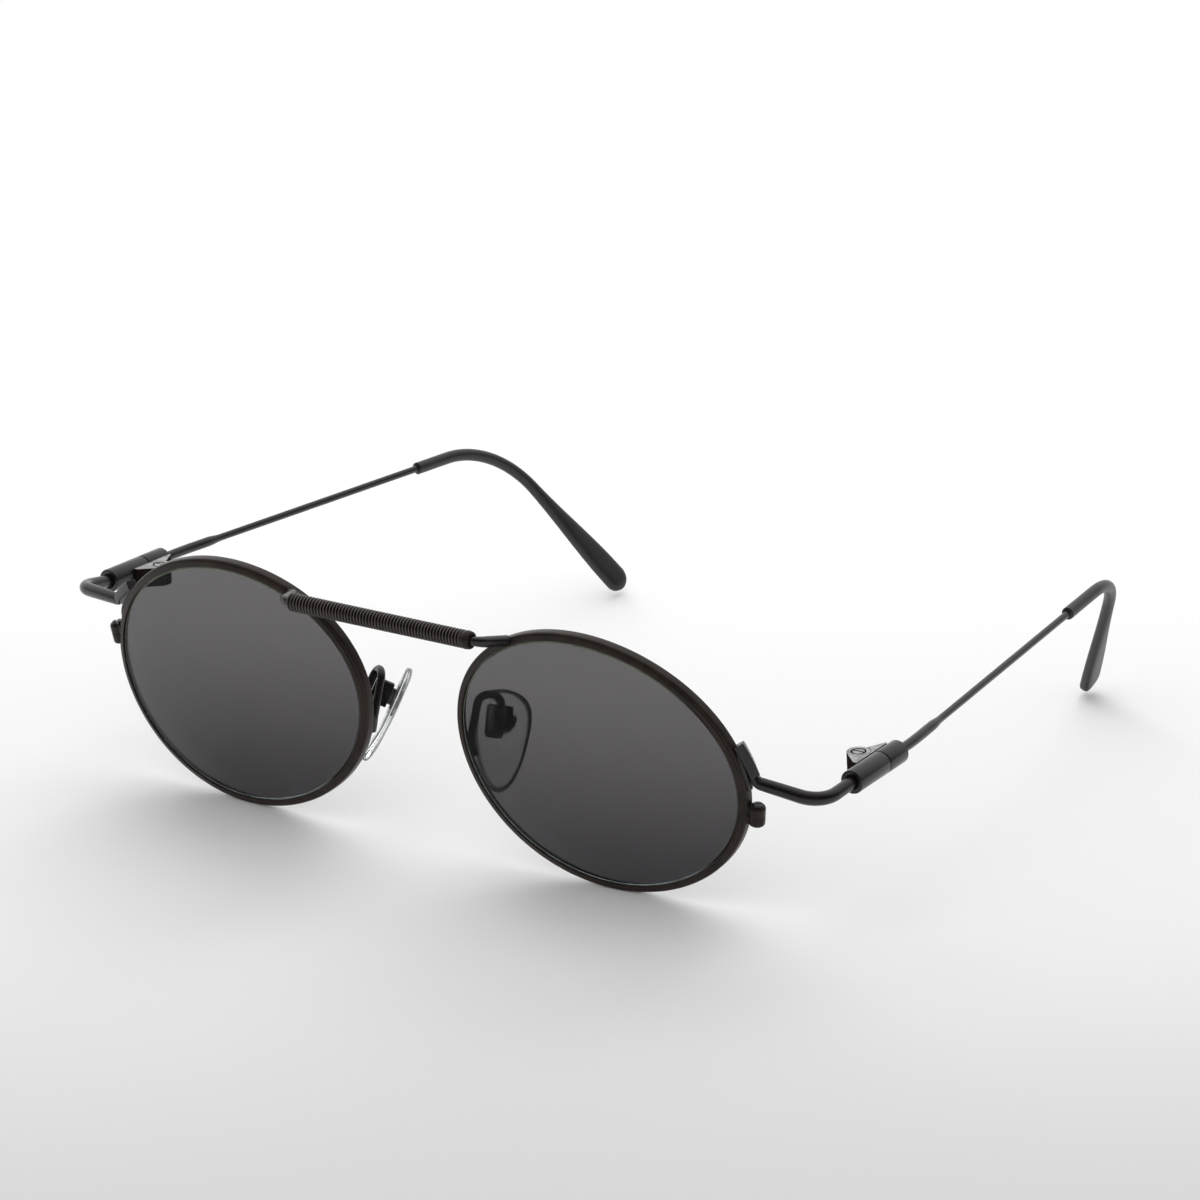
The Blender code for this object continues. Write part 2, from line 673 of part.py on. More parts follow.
def ear_bend_points(side, drop_length):
    """Front of the tip, corner of the ear bend and end of the tip."""
    place = temple_place(side)
    front = place @ Vector((0, TEMPLE_REACH - TIP_LEAD, 0))
    corner = place @ Vector((0, TEMPLE_REACH, 0))
    level = math.cos(TIP_DROP_ANGLE)
    inward = -side * level * math.sin(TIP_DROP_SPLAY)
    fall = Vector((inward, level * math.cos(TIP_DROP_SPLAY), -math.sin(TIP_DROP_ANGLE)))
    return front, corner, corner + fall * drop_length


def make_temple_wire(side, suffix, parent):
    """A drawn wire: thick behind the sleeve, then thin as far as the socket in the tip."""
    sleeve = sleeve_place(side)
    temple = temple_place(side)
    end = temple @ Vector((0, TEMPLE_REACH - TIP_LEAD + TIP_SOCKET - GAP, 0))
    corners = [sleeve @ Vector((0, SLEEVE_WIRE_STOP, 0)), temple.translation, end]
    path = rounded_path(corners, [TEMPLE_SET_RADIUS], arc_steps=4)
    thick_run = TEMPLE_THICK_LENGTH - TEMPLE_SET_START
    stations = [thick_run, thick_run + TEMPLE_TAPER_LENGTH / 2, thick_run + TEMPLE_TAPER_LENGTH]
    thin = [temple @ Vector((0, station, 0)) for station in stations]
    rest = [thin[-1].lerp(end, share) for share in (0.25, 0.5, 0.75, 1.0)]
    middle_radius = (TEMPLE_THICK_RADIUS + TEMPLE_THIN_RADIUS) / 2
    radii = [TEMPLE_THICK_RADIUS] * len(path) + [middle_radius] + [TEMPLE_THIN_RADIUS] * 5
    rod = wire(f"temple_wire_{suffix}", path[:-1] + thin + rest, TEMPLE_THICK_RADIUS, radii)
    finish_part(rod, BLACK_WIRE, parent)


def section_points(half_width, half_thickness, corner):
    """A rectangle with round corners, as 16 pairs across and through the tip."""
    points = []
    for quarter, (across, through) in enumerate(((1, 1), (-1, 1), (-1, -1), (1, -1))):
        for step in range(4):
            angle = math.pi / 2 * quarter + math.pi / 8 * (step + 0.5)
            points.append(
                (
                    across * (half_width - corner) + corner * math.cos(angle),
                    through * (half_thickness - corner) + corner * math.sin(angle),
                )
            )
    return points


def tip_rings(side, drop_length):
    """Sections along the tip, from its round mouth to its flat rounded end."""
    start, corner, end = ear_bend_points(side, drop_length)
    along = (corner - start).normalized()
    fall = (end - corner).normalized()
    across_bend = along.cross(fall).normalized()
    bend = rounded_path([start, corner, end], [TIP_BEND_RADIUS], arc_steps=8)
    lower = bend[-2]
    run = (end - lower).length
    nose = TIP_END_HALF_WIDTH
    flat = [lower + fall * (run - nose) * step / 4 for step in (1, 2, 3)]
    flat += [end - fall * nose * (1.0 - math.sin(turn)) for turn in np.radians((12.0, 40.0, 68.0))]
    path = [start, start + along * TIP_SOCKET] + bend[1:-1] + flat + [end]
    lengths = np.cumsum([0.0] + [(b - a).length for a, b in zip(path, path[1:])])
    shares = lengths / lengths[-1]
    rings = []
    for count, point in enumerate(path):
        share = float(shares[count])
        ahead = path[min(count + 1, len(path) - 1)] - path[max(count - 1, 0)]
        ahead.normalize()
        wide = ahead.cross(across_bend).normalized()
        early = min(share / TIP_MIDDLE_SHARE, 1.0)
        late = (share - TIP_MIDDLE_SHARE) / (TIP_WIDE_SHARE - TIP_MIDDLE_SHARE)
        late = min(max(late, 0.0), 1.0)
        half_width = TIP_START_RADIUS + (TIP_MIDDLE_HALF_WIDTH - TIP_START_RADIUS) * early
        half_width += (TIP_END_HALF_WIDTH - TIP_MIDDLE_HALF_WIDTH) * late
        half_thickness = TIP_START_RADIUS + (TIP_HALF_THICKNESS - TIP_START_RADIUS) * early
        to_end = (end - point).length
        if to_end < nose:
            round_off = math.sqrt(max(1.0 - (1.0 - to_end / nose) ** 2, 0.02))
            half_width *= round_off
            half_thickness *= TIP_LAST_ROUND + (1.0 - TIP_LAST_ROUND) * round_off
        corner_radius = min(half_width, half_thickness) * (1.0 - 0.2 * late)
        ring = [
            point + wide * across + across_bend * through
            for across, through in section_points(half_width, half_thickness, corner_radius)
        ]
        rings.append(ring)
    return rings


def tip_drop_length(side):
    """The drop at which the end of the tip stands on the same level as the rims."""
    lowest = min(point.z for ring in tip_rings(side, TIP_DROP_TRIAL) for point in ring)
    return TIP_DROP_TRIAL + lowest / math.sin(TIP_DROP_ANGLE)


def make_tip(side, suffix, parent):
    """A moulded tip, pushed onto the end of the wire."""
    drop = tip_drop_length(side)
    body = bmesh.new()
    rings = [[body.verts.new(point) for point in ring] for ring in tip_rings(side, drop)]
    close_loft(body, rings)
    name = f"temple_tip_{suffix}"
    tip = mesh_object(name, body)
    place = temple_place(side)
    mouth = TEMPLE_REACH - TIP_LEAD
    socket = round_bar(
        name + "_socket",
        place @ Vector((0, mouth - MM, 0)),
        place @ Vector((0, mouth + TIP_SOCKET, 0)),
        TEMPLE_THIN_RADIUS + GAP,
        16,
    )
    combine(tip, socket, "DIFFERENCE")
    finish_part(tip, BLACK_TIP, parent)


def pad_place(side):
    """The frame of a nose pad: X from front to back, Y towards the nose and Z up its length."""
    up = Vector((-side * math.tan(PAD_FLARE), math.tan(PAD_LEAN), 1.0)).normalized()
    to_nose = Vector((-side * math.cos(PAD_SPLAY), math.sin(PAD_SPLAY), 0.0))
    to_nose = (to_nose - up * to_nose.dot(up)).normalized()
    rearward = to_nose.cross(up)
    if rearward.y < 0:
        rearward = -rearward
    middle = Vector((side * PAD_SPACING / 2, PAD_BACK, EYE_HEIGHT - PAD_DROP))
    place = Matrix((rearward, to_nose, up)).transposed().to_4x4()
    place.translation = middle
    return place


def pad_screw_depth():
    """How far the pad's screw lies behind the middle of the pad, away from the nose."""
    return PAD_THICKNESS / 2 + ROCK_GAP + PAD_SCREW_RADIUS + GAP


def rock_place(side):
    """The axis that a pad rocks on: the X axis of this frame is the middle of its screw."""
    return pad_place(side) @ Matrix.Translation((-PAD_BOX_FORWARD, -pad_screw_depth(), PAD_BOX_RISE))


def make_pad(side, suffix, parent):
    """A soft drop-shaped pad, wide above and narrow below, with a tab for the screw on its back."""
    rock = rock_place(side)
    half = PAD_LENGTH / 2
    rows = 9
    body = bmesh.new()
    rings = []
    for row in range(rows):
        share = -1.0 + 2.0 * row / (rows - 1)
        height = half * math.sin(share * math.pi / 2)
        level = height / half
        round_off = math.sqrt(max(1.0 - abs(level) ** PAD_FULLNESS, PAD_END_WIDTH**2))
        belly = 0.5 * PAD_WIDTH * round_off * (1.0 + PAD_DRAW * (level - PAD_WIDEST))
        thick = 0.5 * PAD_THICKNESS * min(1.0, PAD_END_THICKNESS + round_off)
        section = section_points(belly, thick, min(belly, thick))
        rings.append([body.verts.new((across, through, height)) for across, through in section])
    close_loft(body, rings)
    name = f"nose_pad_{suffix}"
    pad = mesh_object(name, body, pad_place(side))
    reach = PAD_SCREW_RADIUS + GAP + PAD_BOX_WALL
    tab = block(
        name + "_tab",
        (-PAD_TAB_WIDTH / 2, -reach, -PAD_TAB_HEIGHT / 2),
        (PAD_TAB_WIDTH / 2, pad_screw_depth(), PAD_TAB_HEIGHT / 2),
        rock,
    )
    combine(pad, tab, "UNION")
    start = rock @ Vector((-PAD_TAB_WIDTH, 0, 0))
    end = rock @ Vector((PAD_TAB_WIDTH, 0, 0))
    hole = round_bar(name + "_hole", start, end, PAD_SCREW_RADIUS + GAP, 16)
    combine(pad, hole, "DIFFERENCE")
    finish_part(pad, CLEAR_PAD, parent)


def box_back():
    """From the pad's screw to the closed back of its box, away from the nose."""
    return PAD_SCREW_RADIUS + GAP + PAD_BOX_WALL + ROCK_GAP + PAD_BOX_WALL


def make_pad_box(side, suffix, parent):
    """A small channel that holds the pad's tab, with a screw through its two cheeks."""
    rock = rock_place(side)
    inner = PAD_TAB_WIDTH / 2 + GAP
    outer = inner + PAD_BOX_WALL
    half = PAD_BOX_HEIGHT / 2
    mouth = PAD_SCREW_RADIUS + GAP
    name = f"pad_box_{suffix}"
    box = block(name, (-outer, -box_back(), -half), (outer, mouth, half), rock)
    low = (-inner, PAD_BOX_WALL - box_back(), -half - MM)
    high = (inner, mouth + MM, half + MM)
    room = block(name + "_room", low, high, rock)
    combine(box, room, "DIFFERENCE")
    start = rock @ Vector((-outer - MM, 0, 0))
    end = rock @ Vector((outer + MM, 0, 0))
    hole = round_bar(name + "_hole", start, end, PAD_SCREW_RADIUS + GAP, 16)
    combine(box, hole, "DIFFERENCE")
    finish_part(box, BLACK_SCREW, parent)
    top = rock @ Vector((outer + GAP + PAD_HEAD_HEIGHT, 0, 0))
    tail = rock @ Vector((-outer, 0, 0))
    sizes = (PAD_SCREW_RADIUS, PAD_HEAD_RADIUS, PAD_HEAD_HEIGHT)
    screw_with_slot(f"pad_screw_{suffix}", top, tail, *sizes, parent, BLACK_SCREW)


def make_pad_arm(side, suffix, parent):
    """A wire from the back of the rim, up, over in a loop and down the back of the box."""
    back = RIM_DEPTH / 2 + GAP + ARM_RADIUS
    angles = np.linspace(ARM_SEAT_ANGLE, ARM_SEAT_ANGLE - ARM_SEAT_SWEEP, 3)
    seat = [eye_point(side, float(angle), RIM_WALL / 2, back) for angle in angles]
    rock = rock_place(side)
    depth = -(box_back() + GAP + ARM_RADIUS)
    foot = rock @ Vector((0, depth, -PAD_BOX_HEIGHT / 4))
    over = rock @ Vector((0, depth, ARM_LOOP_RISE))
    front = Vector((seat[-1].x, seat[-1].y + ARM_FOOT_RADIUS + ARM_LEG_LEAN, over.z))
    bends = [ARM_FOOT_RADIUS, ARM_LOOP_RADIUS, ARM_LOOP_RADIUS]
    path = rounded_path([seat[-2], seat[-1], front, over, foot], bends, 5)
    arm = wire(f"pad_arm_{suffix}", seat[:-2] + path, ARM_RADIUS)
    finish_part(arm, BLACK_WIRE, parent)


def build_glasses():
    root = new_empty("glasses", Matrix())
    front = new_empty("front", Matrix(), root)
    make_bridge(front)
    make_coil(front)
    for side, suffix in ((1, "left"), (-1, "right")):
        temple = new_empty(f"hinge_axis_{suffix}", hinge_place(side), front)
        rock = new_empty(f"pad_axis_{suffix}", rock_place(side), front)
        make_rim(side, f"rim_{suffix}", front)
        make_lens(side, f"lens_{suffix}", front)
        make_lock(side, suffix, front)
        make_end_piece(side, suffix, front)
        make_sleeve(
            side, f"front_sleeve_{suffix}", -FRONT_SLEEVE_LENGTH, -GAP / 2, END_WIRE_RADIUS + GAP, front
        )
        make_sleeve(
            side, f"rear_sleeve_{suffix}", GAP / 2, REAR_SLEEVE_LENGTH, TEMPLE_THICK_RADIUS + GAP, temple
        )
        make_hinge(side, suffix, front, temple)
        make_temple_wire(side, suffix, temple)
        make_tip(side, suffix, temple)
        make_pad_arm(side, suffix, front)
        make_pad_box(side, suffix, front)
        make_pad(side, suffix, rock)
    return root


def base_middle():
    """How far back the middle of the glasses' box lies, from the solids themselves."""
    bpy.context.view_layer.update()
    graph = bpy.context.evaluated_depsgraph_get()
    reach = []
    for item in PARTS.objects:
        if item.type in {"MESH", "CURVE"}:
            shape = item.evaluated_get(graph).to_mesh()
            reach += [(item.matrix_world @ vert.co).y for vert in shape.vertices]
            item.evaluated_get(graph).to_mesh_clear()
    return (min(reach) + max(reach)) / 2


GLASSES = build_glasses()
GLASSES.location.y = -base_middle()
bpy.context.view_layer.update()
for side, suffix in ((1, "left"), (-1, "right")):
    shift = Matrix.Translation(GLASSES.location)
    hinge = shift @ hinge_place(side)
    rock = shift @ rock_place(side)
    for word, place, axis in (("hinge", hinge, 2), ("pad", rock, 0)):
        point = ", ".join(f"{value:.6f}" for value in place.translation)
        line = ", ".join(f"{value:.6f}" for value in place.col[axis].xyz)
        print(f"{word} {suffix}: point {point}; axis {line}")
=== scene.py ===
import math

import bmesh
import bpy
import numpy as np
from mathutils import Matrix, Vector


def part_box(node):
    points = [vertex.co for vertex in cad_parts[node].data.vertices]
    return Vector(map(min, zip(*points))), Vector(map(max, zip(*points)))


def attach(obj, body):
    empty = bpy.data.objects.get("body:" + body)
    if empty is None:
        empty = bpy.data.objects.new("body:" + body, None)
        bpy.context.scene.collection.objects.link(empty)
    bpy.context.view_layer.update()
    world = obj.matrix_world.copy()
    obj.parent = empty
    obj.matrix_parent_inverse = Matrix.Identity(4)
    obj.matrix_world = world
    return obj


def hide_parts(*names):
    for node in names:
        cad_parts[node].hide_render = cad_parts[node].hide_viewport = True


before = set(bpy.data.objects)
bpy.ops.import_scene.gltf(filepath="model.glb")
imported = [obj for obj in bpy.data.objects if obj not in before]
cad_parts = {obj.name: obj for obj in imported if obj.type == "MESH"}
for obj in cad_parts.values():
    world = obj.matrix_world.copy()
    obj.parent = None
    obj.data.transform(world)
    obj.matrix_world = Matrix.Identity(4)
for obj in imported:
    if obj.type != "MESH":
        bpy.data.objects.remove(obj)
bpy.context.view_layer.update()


# Rims
# Each rim is a rolled channel wire, bent to an oval and cut through on its outer side.
# A crease runs round its front and its back, and a groove inside it holds the lens.
MM = 0.001
SIDES = ((1, "left"), (-1, "right"))
BAR_FORWARD = 5.1 * MM           # from the middle of the lenses to the bridge bar
BAR_RISE = 18.6 * MM
EYE_SPACING = 68.0 * MM          # between the middles of the lenses
EYE_ROLL = math.radians(8.6)     # the outer end of each oval is turned down by this
EYE_WRAP = math.radians(2.9)     # and back by this
EYE_TILT = math.radians(8.4)     # and its top leans forward by this
OVAL_HALF_WIDTH = 24.25 * MM
OVAL_HALF_HEIGHT = 19.55 * MM
FRONT_SPHERE = 72.0 * MM         # the radius that the fronts of both rims and lenses follow
RIM_WALL = 1.20 * MM
RIM_DEPTH = 1.80 * MM
RIM_CUT = 0.06 * MM
RIM_BEAD_FALL = 0.06 * MM        # the outer bead stands this far behind the front face
LOCK_RISE = 2.5 * MM             # the cut, above the end of the oval
HINGE_SKEW = 3.1 * MM            # the left hinge lies this much lower and the right one higher
SHARP_ANGLE = 38.0               # degrees between two faces, from which their edge is sharp

coil_low, coil_high = (np.array(corner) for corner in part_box("bridge_coil"))
FRONT_MIDDLE = (coil_low[1] + coil_high[1]) / 2 + BAR_FORWARD
EYE_HEIGHT = (coil_low[2] + coil_high[2]) / 2 - BAR_RISE


class Value:
    """The output of a shader node.  Sums, differences and products of it add Math nodes."""

    def __init__(self, nodes, socket):
        self.nodes = nodes
        self.socket = socket

    def maths(self, operation, first, second):
        return self.nodes.add("ShaderNodeMath", {"operation": operation}, {0: first, 1: second})

    def __add__(self, other):
        return self.maths("ADD", self, other)

    __radd__ = __add__

    def __sub__(self, other):
        return self.maths("SUBTRACT", self, other)

    def __rsub__(self, other):
        return self.maths("SUBTRACT", other, self)

    def __mul__(self, other):
        return self.maths("MULTIPLY", self, other)

    __rmul__ = __mul__

    def at_most(self, other):
        return self.maths("MINIMUM", self, other)

    def ramp(self, start, end, low=0.0, high=1.0):
        """A smooth step: low before start, high past end."""
        settings = {"interpolation_type": "SMOOTHSTEP"}
        return self.nodes.add("ShaderNodeMapRange", settings, {0: self, 1: start, 2: end, 3: low, 4: high})


class Nodes:
    """The nodes of one material or world."""

    def __init__(self, tree):
        self.tree = tree

    def add(self, kind, settings, inputs, output=0):
        """One more node: its settings first, then the values or links of its sockets."""
        node = self.tree.nodes.new(kind)
        for key, value in settings.items():
            setattr(node, key, value)
        for key, value in inputs.items():
            self.feed(node.inputs[key], value)
        return Value(self, node.outputs[output])

    def feed(self, socket, value):
        """Links a socket to a value, or sets it; a colour is given by three numbers."""
        if isinstance(value, Value):
            self.tree.links.new(value.socket, socket)
        elif socket.type == "RGBA":
            socket.default_value = (*value, 1.0)
        else:
            socket.default_value = value

    def place(self):
        """Where a point lies on its object."""
        return self.add("ShaderNodeTexCoord", {}, {}, output="Object")

    def noise(self, size, detail=2.0, stretch=(1.0, 1.0, 1.0)):
        """Noise with features of about a size in metres, longer along an axis whose stretch is small."""
        scaled = self.add("ShaderNodeMapping", {}, {"Vector": self.place(), "Scale": stretch})
        return self.add("ShaderNodeTexNoise", {}, {"Vector": scaled, "Scale": 1.0 / size, "Detail": detail})

    def part(self, vector, axis):
        """One of the three numbers of a vector."""
        return self.add("ShaderNodeSeparateXYZ", {}, {"Vector": vector}, output=axis)

    def blend(self, factor, first, second):
        """The first colour, going over to the second as the factor rises from 0 to 1."""
        return self.add("ShaderNodeMix", {"data_type": "RGBA"}, {0: factor, 6: first, 7: second}, output=2)


class Finish(Nodes):
    """A material on Blender's Principled shader: what is the same all over is set on its sockets."""

    def __init__(self, name, **even):
        self.material = bpy.data.materials.new(name)
        self.material.use_nodes = True
        super().__init__(self.material.node_tree)
        self.shader = self.tree.nodes["Principled BSDF"]
        for key, value in even.items():
            self.set(key, value)

    def set(self, key, value):
        """Feeds one of the shader's sockets, by its name in any case and with or without underscores."""
        self.feed(self.shader.inputs[key.replace("_", " ").title().replace("Ior", "IOR")], value)

    def bump(self, height, depth, strength):
        inputs = {"Height": height, "Distance": depth, "Strength": strength}
        self.set("Normal", self.add("ShaderNodeBump", {}, inputs))


def satin_black(name, colour, roughness, shine=0.60):
    """Black coating on metal: a brown cast that comes and goes, a fine orange peel and duller patches."""
    finish = Finish(name, metallic=0.10, specular_ior_level=shine)
    patches = finish.noise(2.6 * MM, detail=4.0)
    specks = finish.noise(0.12 * MM, detail=3.0)
    light = tuple(1.45 * part for part in colour)
    dark = tuple(0.60 * part for part in colour)
    mixed = patches.ramp(0.30, 0.70) * 0.7 + specks.ramp(0.35, 0.75) * 0.3
    finish.set("Base Color", finish.blend(mixed, dark, light))
    finish.set("Roughness", roughness + (patches - 0.5) * 0.16 + (specks - 0.5) * 0.10)
    finish.bump(specks, depth=0.010 * MM, strength=0.35)
    return finish.material


def unit(vectors):
    """The same directions, with length 1."""
    return vectors / np.linalg.norm(vectors, axis=-1, keepdims=True)


def placed(place, points):
    """Points of a local frame, moved by its 4 x 4 matrix."""
    place = np.array(place)
    return np.asarray(points) @ place[:3, :3].T + place[:3, 3]


def arc(before, corner, after, radius, steps):
    """Points on the arc that touches both sides of a corner; start and end turn evenly into each other."""
    back = unit(before - corner)
    ahead = unit(after - corner)
    half = math.acos(float(np.clip(back @ ahead, -1.0, 1.0))) / 2
    middle = corner + unit(back + ahead) * radius / math.sin(half)
    start = corner + back * radius / math.tan(half) - middle
    end = corner + ahead * radius / math.tan(half) - middle
    sweep_angle = math.pi - 2 * half
    turn = np.linspace(0.0, 1.0, steps + 1)[:, None] * sweep_angle
    return middle + (np.sin(sweep_angle - turn) * start + np.sin(turn) * end) / math.sin(sweep_angle)


def rounded_outline(corners, radii, steps=4):
    """A closed outline with an arc at each corner."""
    corners = np.array(corners, float)
    after = np.roll(corners, -1, axis=0)
    arcs = [arc(corners[i - 1], corners[i], after[i], radius, steps) for i, radius in enumerate(radii)]
    return np.concatenate(arcs)


def grid_mesh(points, loop=False):
    """A closed mesh from rows of points: quads join each point to the next in its row and in the next row.
    The rows close on themselves; the last joins the first if loop is set, and otherwise both are capped."""
    rows, columns = points.shape[:2]
    index = np.arange(rows * columns).reshape(rows, columns)
    here = index if loop else index[:-1]
    there = np.roll(index, -1, axis=0) if loop else index[1:]
    quads = np.stack([here, np.roll(here, -1, 1), np.roll(there, -1, 1), there], axis=-1)
    faces = quads.reshape(-1, 4).tolist()
    if not loop:
        faces += [index[0][::-1].tolist(), index[-1].tolist()]
    mesh = bpy.data.meshes.new("surface")
    mesh.from_pydata(points.reshape(-1, 3).tolist(), [], faces)
    shape = bmesh.new()
    shape.from_mesh(mesh)
    if shape.calc_volume(signed=True) < 0.0:
        bmesh.ops.reverse_faces(shape, faces=shape.faces)
        shape.to_mesh(mesh)
    shape.free()
    return mesh


def linked(name, data):
    """A new object, put into the scene."""
    item = bpy.data.objects.new(name, data)
    bpy.context.scene.collection.objects.link(item)
    return item


def add_piece(name, mesh, body, material, slot, *nodes, sharp=SHARP_ANGLE):
    """Puts a mesh into the scene with its finish, on the body it moves with, in place of its solids."""
    mesh.name = name
    mesh.shade_smooth()
    mesh.set_sharp_from_angle(angle=math.radians(sharp))
    mesh.materials.append(material)
    piece = linked(name, mesh)
    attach(piece, body)
    if nodes:
        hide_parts(*nodes)
    return piece


def eye_place(side):
    """The frame of one eye: its origin is the middle of the rim's opening."""
    tilt = Matrix.Rotation(EYE_TILT, 4, "X")
    wrap = Matrix.Rotation(side * EYE_WRAP, 4, "Z")
    roll = Matrix.Rotation(side * EYE_ROLL, 4, "Y")
    middle = Matrix.Translation((side * EYE_SPACING / 2, FRONT_MIDDLE, EYE_HEIGHT))
    return middle @ tilt @ wrap @ roll


def eye_points(side, angle, outward, back, share=1.0):
    """x = a cos t and z = b sin t, moved outward along the oval's normal, both times a share of the way
    from the middle; y is the depth asked for plus the fall of the front's sphere, (x² + z²) / 2R."""
    normal_x = OVAL_HALF_HEIGHT * np.cos(angle)
    normal_z = OVAL_HALF_WIDTH * np.sin(angle)
    length = np.hypot(normal_x, normal_z)
    x = share * (OVAL_HALF_WIDTH * np.cos(angle) + outward * normal_x / length)
    z = share * (OVAL_HALF_HEIGHT * np.sin(angle) + outward * normal_z / length)
    y = back + (x**2 + z**2) / (2 * FRONT_SPHERE)
    return placed(eye_place(side), np.stack(np.broadcast_arrays(side * x, y, z), axis=-1))


def skew_angle(side):
    """How far round the rim the skew of the hinges moves what stands on its outer side."""
    return -side * HINGE_SKEW / OVAL_HALF_HEIGHT


def lock_angle(side):
    """How far round the rim its cut lies, from the end of the oval."""
    return math.asin(LOCK_RISE / OVAL_HALF_HEIGHT) + skew_angle(side)


def rim_section():
    """The channel's outline as (outward, back): a wall with round edges, creased in front and behind."""
    half = RIM_DEPTH / 2
    crease = 0.62 * RIM_WALL
    crease_depth = 0.13 * MM
    crease_half = 0.09 * MM
    bead = half - RIM_BEAD_FALL
    bead_edge = bead - 0.05 * MM
    groove = 0.55 * MM           # as deep as half its mouth is wide
    corners = [
        (0.0, -half),
        (crease - crease_half, -half),
        (crease, -half + crease_depth),
        (crease + crease_half, -bead),
        (RIM_WALL, -bead_edge),
        (RIM_WALL, bead_edge),
        (crease + crease_half, bead),
        (crease, half - crease_depth),
        (crease - crease_half, half),
        (0.0, half),
        (0.0, groove),
        (groove, 0.0),
        (0.0, -groove),
    ]
    edge, fine, bead_round = 0.16 * MM, 0.03 * MM, 0.30 * MM
    radii = [edge, fine, fine, fine, bead_round, bead_round, fine, fine, fine, edge, fine, fine, fine]
    return rounded_outline(corners, radii)


rim_black = satin_black("satin_black_rim", (0.0200, 0.0130, 0.0100), 0.34, shine=0.25)
section = rim_section()
half_cut = RIM_CUT / 2 / OVAL_HALF_HEIGHT
for side, word in SIDES:
    start = lock_angle(side) + half_cut
    turns = np.linspace(start, start + 2 * math.pi - 2 * half_cut, 361)[:, None]
    rows = eye_points(side, turns, section[:, 0], section[:, 1])
    add_piece(f"{word}_rim", grid_mesh(rows), "front", rim_black, "rim_black", f"rim_{word}")


# Lenses
# Each lens is a grey meniscus, polished, with a V edge in the rim's groove.
# Its front edge is ground off to a narrow frosted band, on which a greenish glint is painted.
LENS_EDGE_INSET = 0.10 * MM
LENS_TOOTH = 0.35 * MM           # how far the V edge stands into the groove
LENS_FRONT = -0.62 * MM          # the depth of its front face in the rim
LENS_BACK = 0.60 * MM
BAND_WIDTH = 0.22 * MM
BAND_FALL = 0.12 * MM
BAND_PROUD = 0.012 * MM          # its skin stands this far in front of the glass
BAND_SKIN = 0.02 * MM            # the ring's own thickness
BAND_DARK = (0.020, 0.020, 0.018)
BAND_PAINTED_OLIVE_GLINT = (0.20, 0.23, 0.16)
BAND_PAINTED_PALE_GLINT = (0.66, 0.78, 0.78)
PALE_DIRECTION = math.radians(245.0)     # from the lens's middle, upwards from its right end
OLIVE_DIRECTION = math.radians(125.0)
PALE_EDGE = 0.25                 # the cosine where the painted glint begins, away from its direction
OLIVE_EDGE = 0.05
LIGHT_FADE = 0.5                 # the cosine over which it comes up


def around(steps):
    """Angles evenly spread over a full turn."""
    return np.linspace(0.0, 2 * math.pi, steps + 1)[:-1]


def lens_rows(side):
    """Front face from its middle out, the V edge, and the back face in again, as rings of the oval."""
    shares = np.linspace(0.01, 1.0, 24)
    profile = [(share, -LENS_EDGE_INSET - BAND_WIDTH, LENS_FRONT) for share in shares]
    profile += [(1.0, -LENS_EDGE_INSET, LENS_FRONT + BAND_FALL)]
    profile += [(1.0, LENS_TOOTH, (LENS_FRONT + LENS_BACK) / 2)]
    profile += [(share, -LENS_EDGE_INSET, LENS_BACK) for share in shares[::-1]]
    share, outward, back = (np.array(column)[:, None] for column in zip(*profile))
    return eye_points(side, around(240), outward, back, share)


def band_rows(side):
    """A thin ring laid over the slope from the front face down to the edge."""
    inner = -LENS_EDGE_INSET - BAND_WIDTH
    outer = -LENS_EDGE_INSET
    outline = [
        (inner, LENS_FRONT - BAND_PROUD),
        (outer + 3 * BAND_SKIN, LENS_FRONT + BAND_FALL - BAND_PROUD),
        (outer, LENS_FRONT + BAND_FALL + BAND_SKIN),
        (inner + 2 * BAND_SKIN, LENS_FRONT + BAND_SKIN / 2),
    ]
    outward, back = np.array(outline).T
    return eye_points(side, around(240)[:, None], outward, back)


def grey_glass():
    """Neutral grey, with painted shade that darkens it a little towards the lower edge, and a coating against
    reflections.
    """
    finish = Finish("grey_lens", roughness=0.015, ior=1.16, transmission_weight=1.0)
    height = finish.part(finish.place(), "Z")
    clouds = finish.noise(9.0 * MM, detail=2.0)
    # painted shade: darker towards the lower edge, with faint clouds
    painted_shade_and_clouds = height.ramp(EYE_HEIGHT - OVAL_HALF_HEIGHT, EYE_HEIGHT + OVAL_HALF_HEIGHT) + (clouds - 0.5) * 0.08
    finish.set("Base Color", finish.blend(painted_shade_and_clouds, (0.058, 0.055, 0.058), (0.134, 0.129, 0.132)))
    return finish.material


def ground_edge():
    """The frosted band round the lens, in the painted glint colours that its mesh carries, a little patchy.
    """
    finish = Finish("ground_lens_edge", ior=1.50)
    patches = finish.noise(3.0 * MM, detail=3.0)
    # the colours that the mesh carries are a painted glint
    carried = finish.add("ShaderNodeAttribute", {"attribute_name": "painted_edge_glint"}, {}, output="Color")
    finish.set("Base Color", finish.blend(patches.ramp(0.35, 0.75) * 0.5, carried, BAND_DARK))
    finish.set("Roughness", 0.22 + patches * 0.2)
    return finish.material


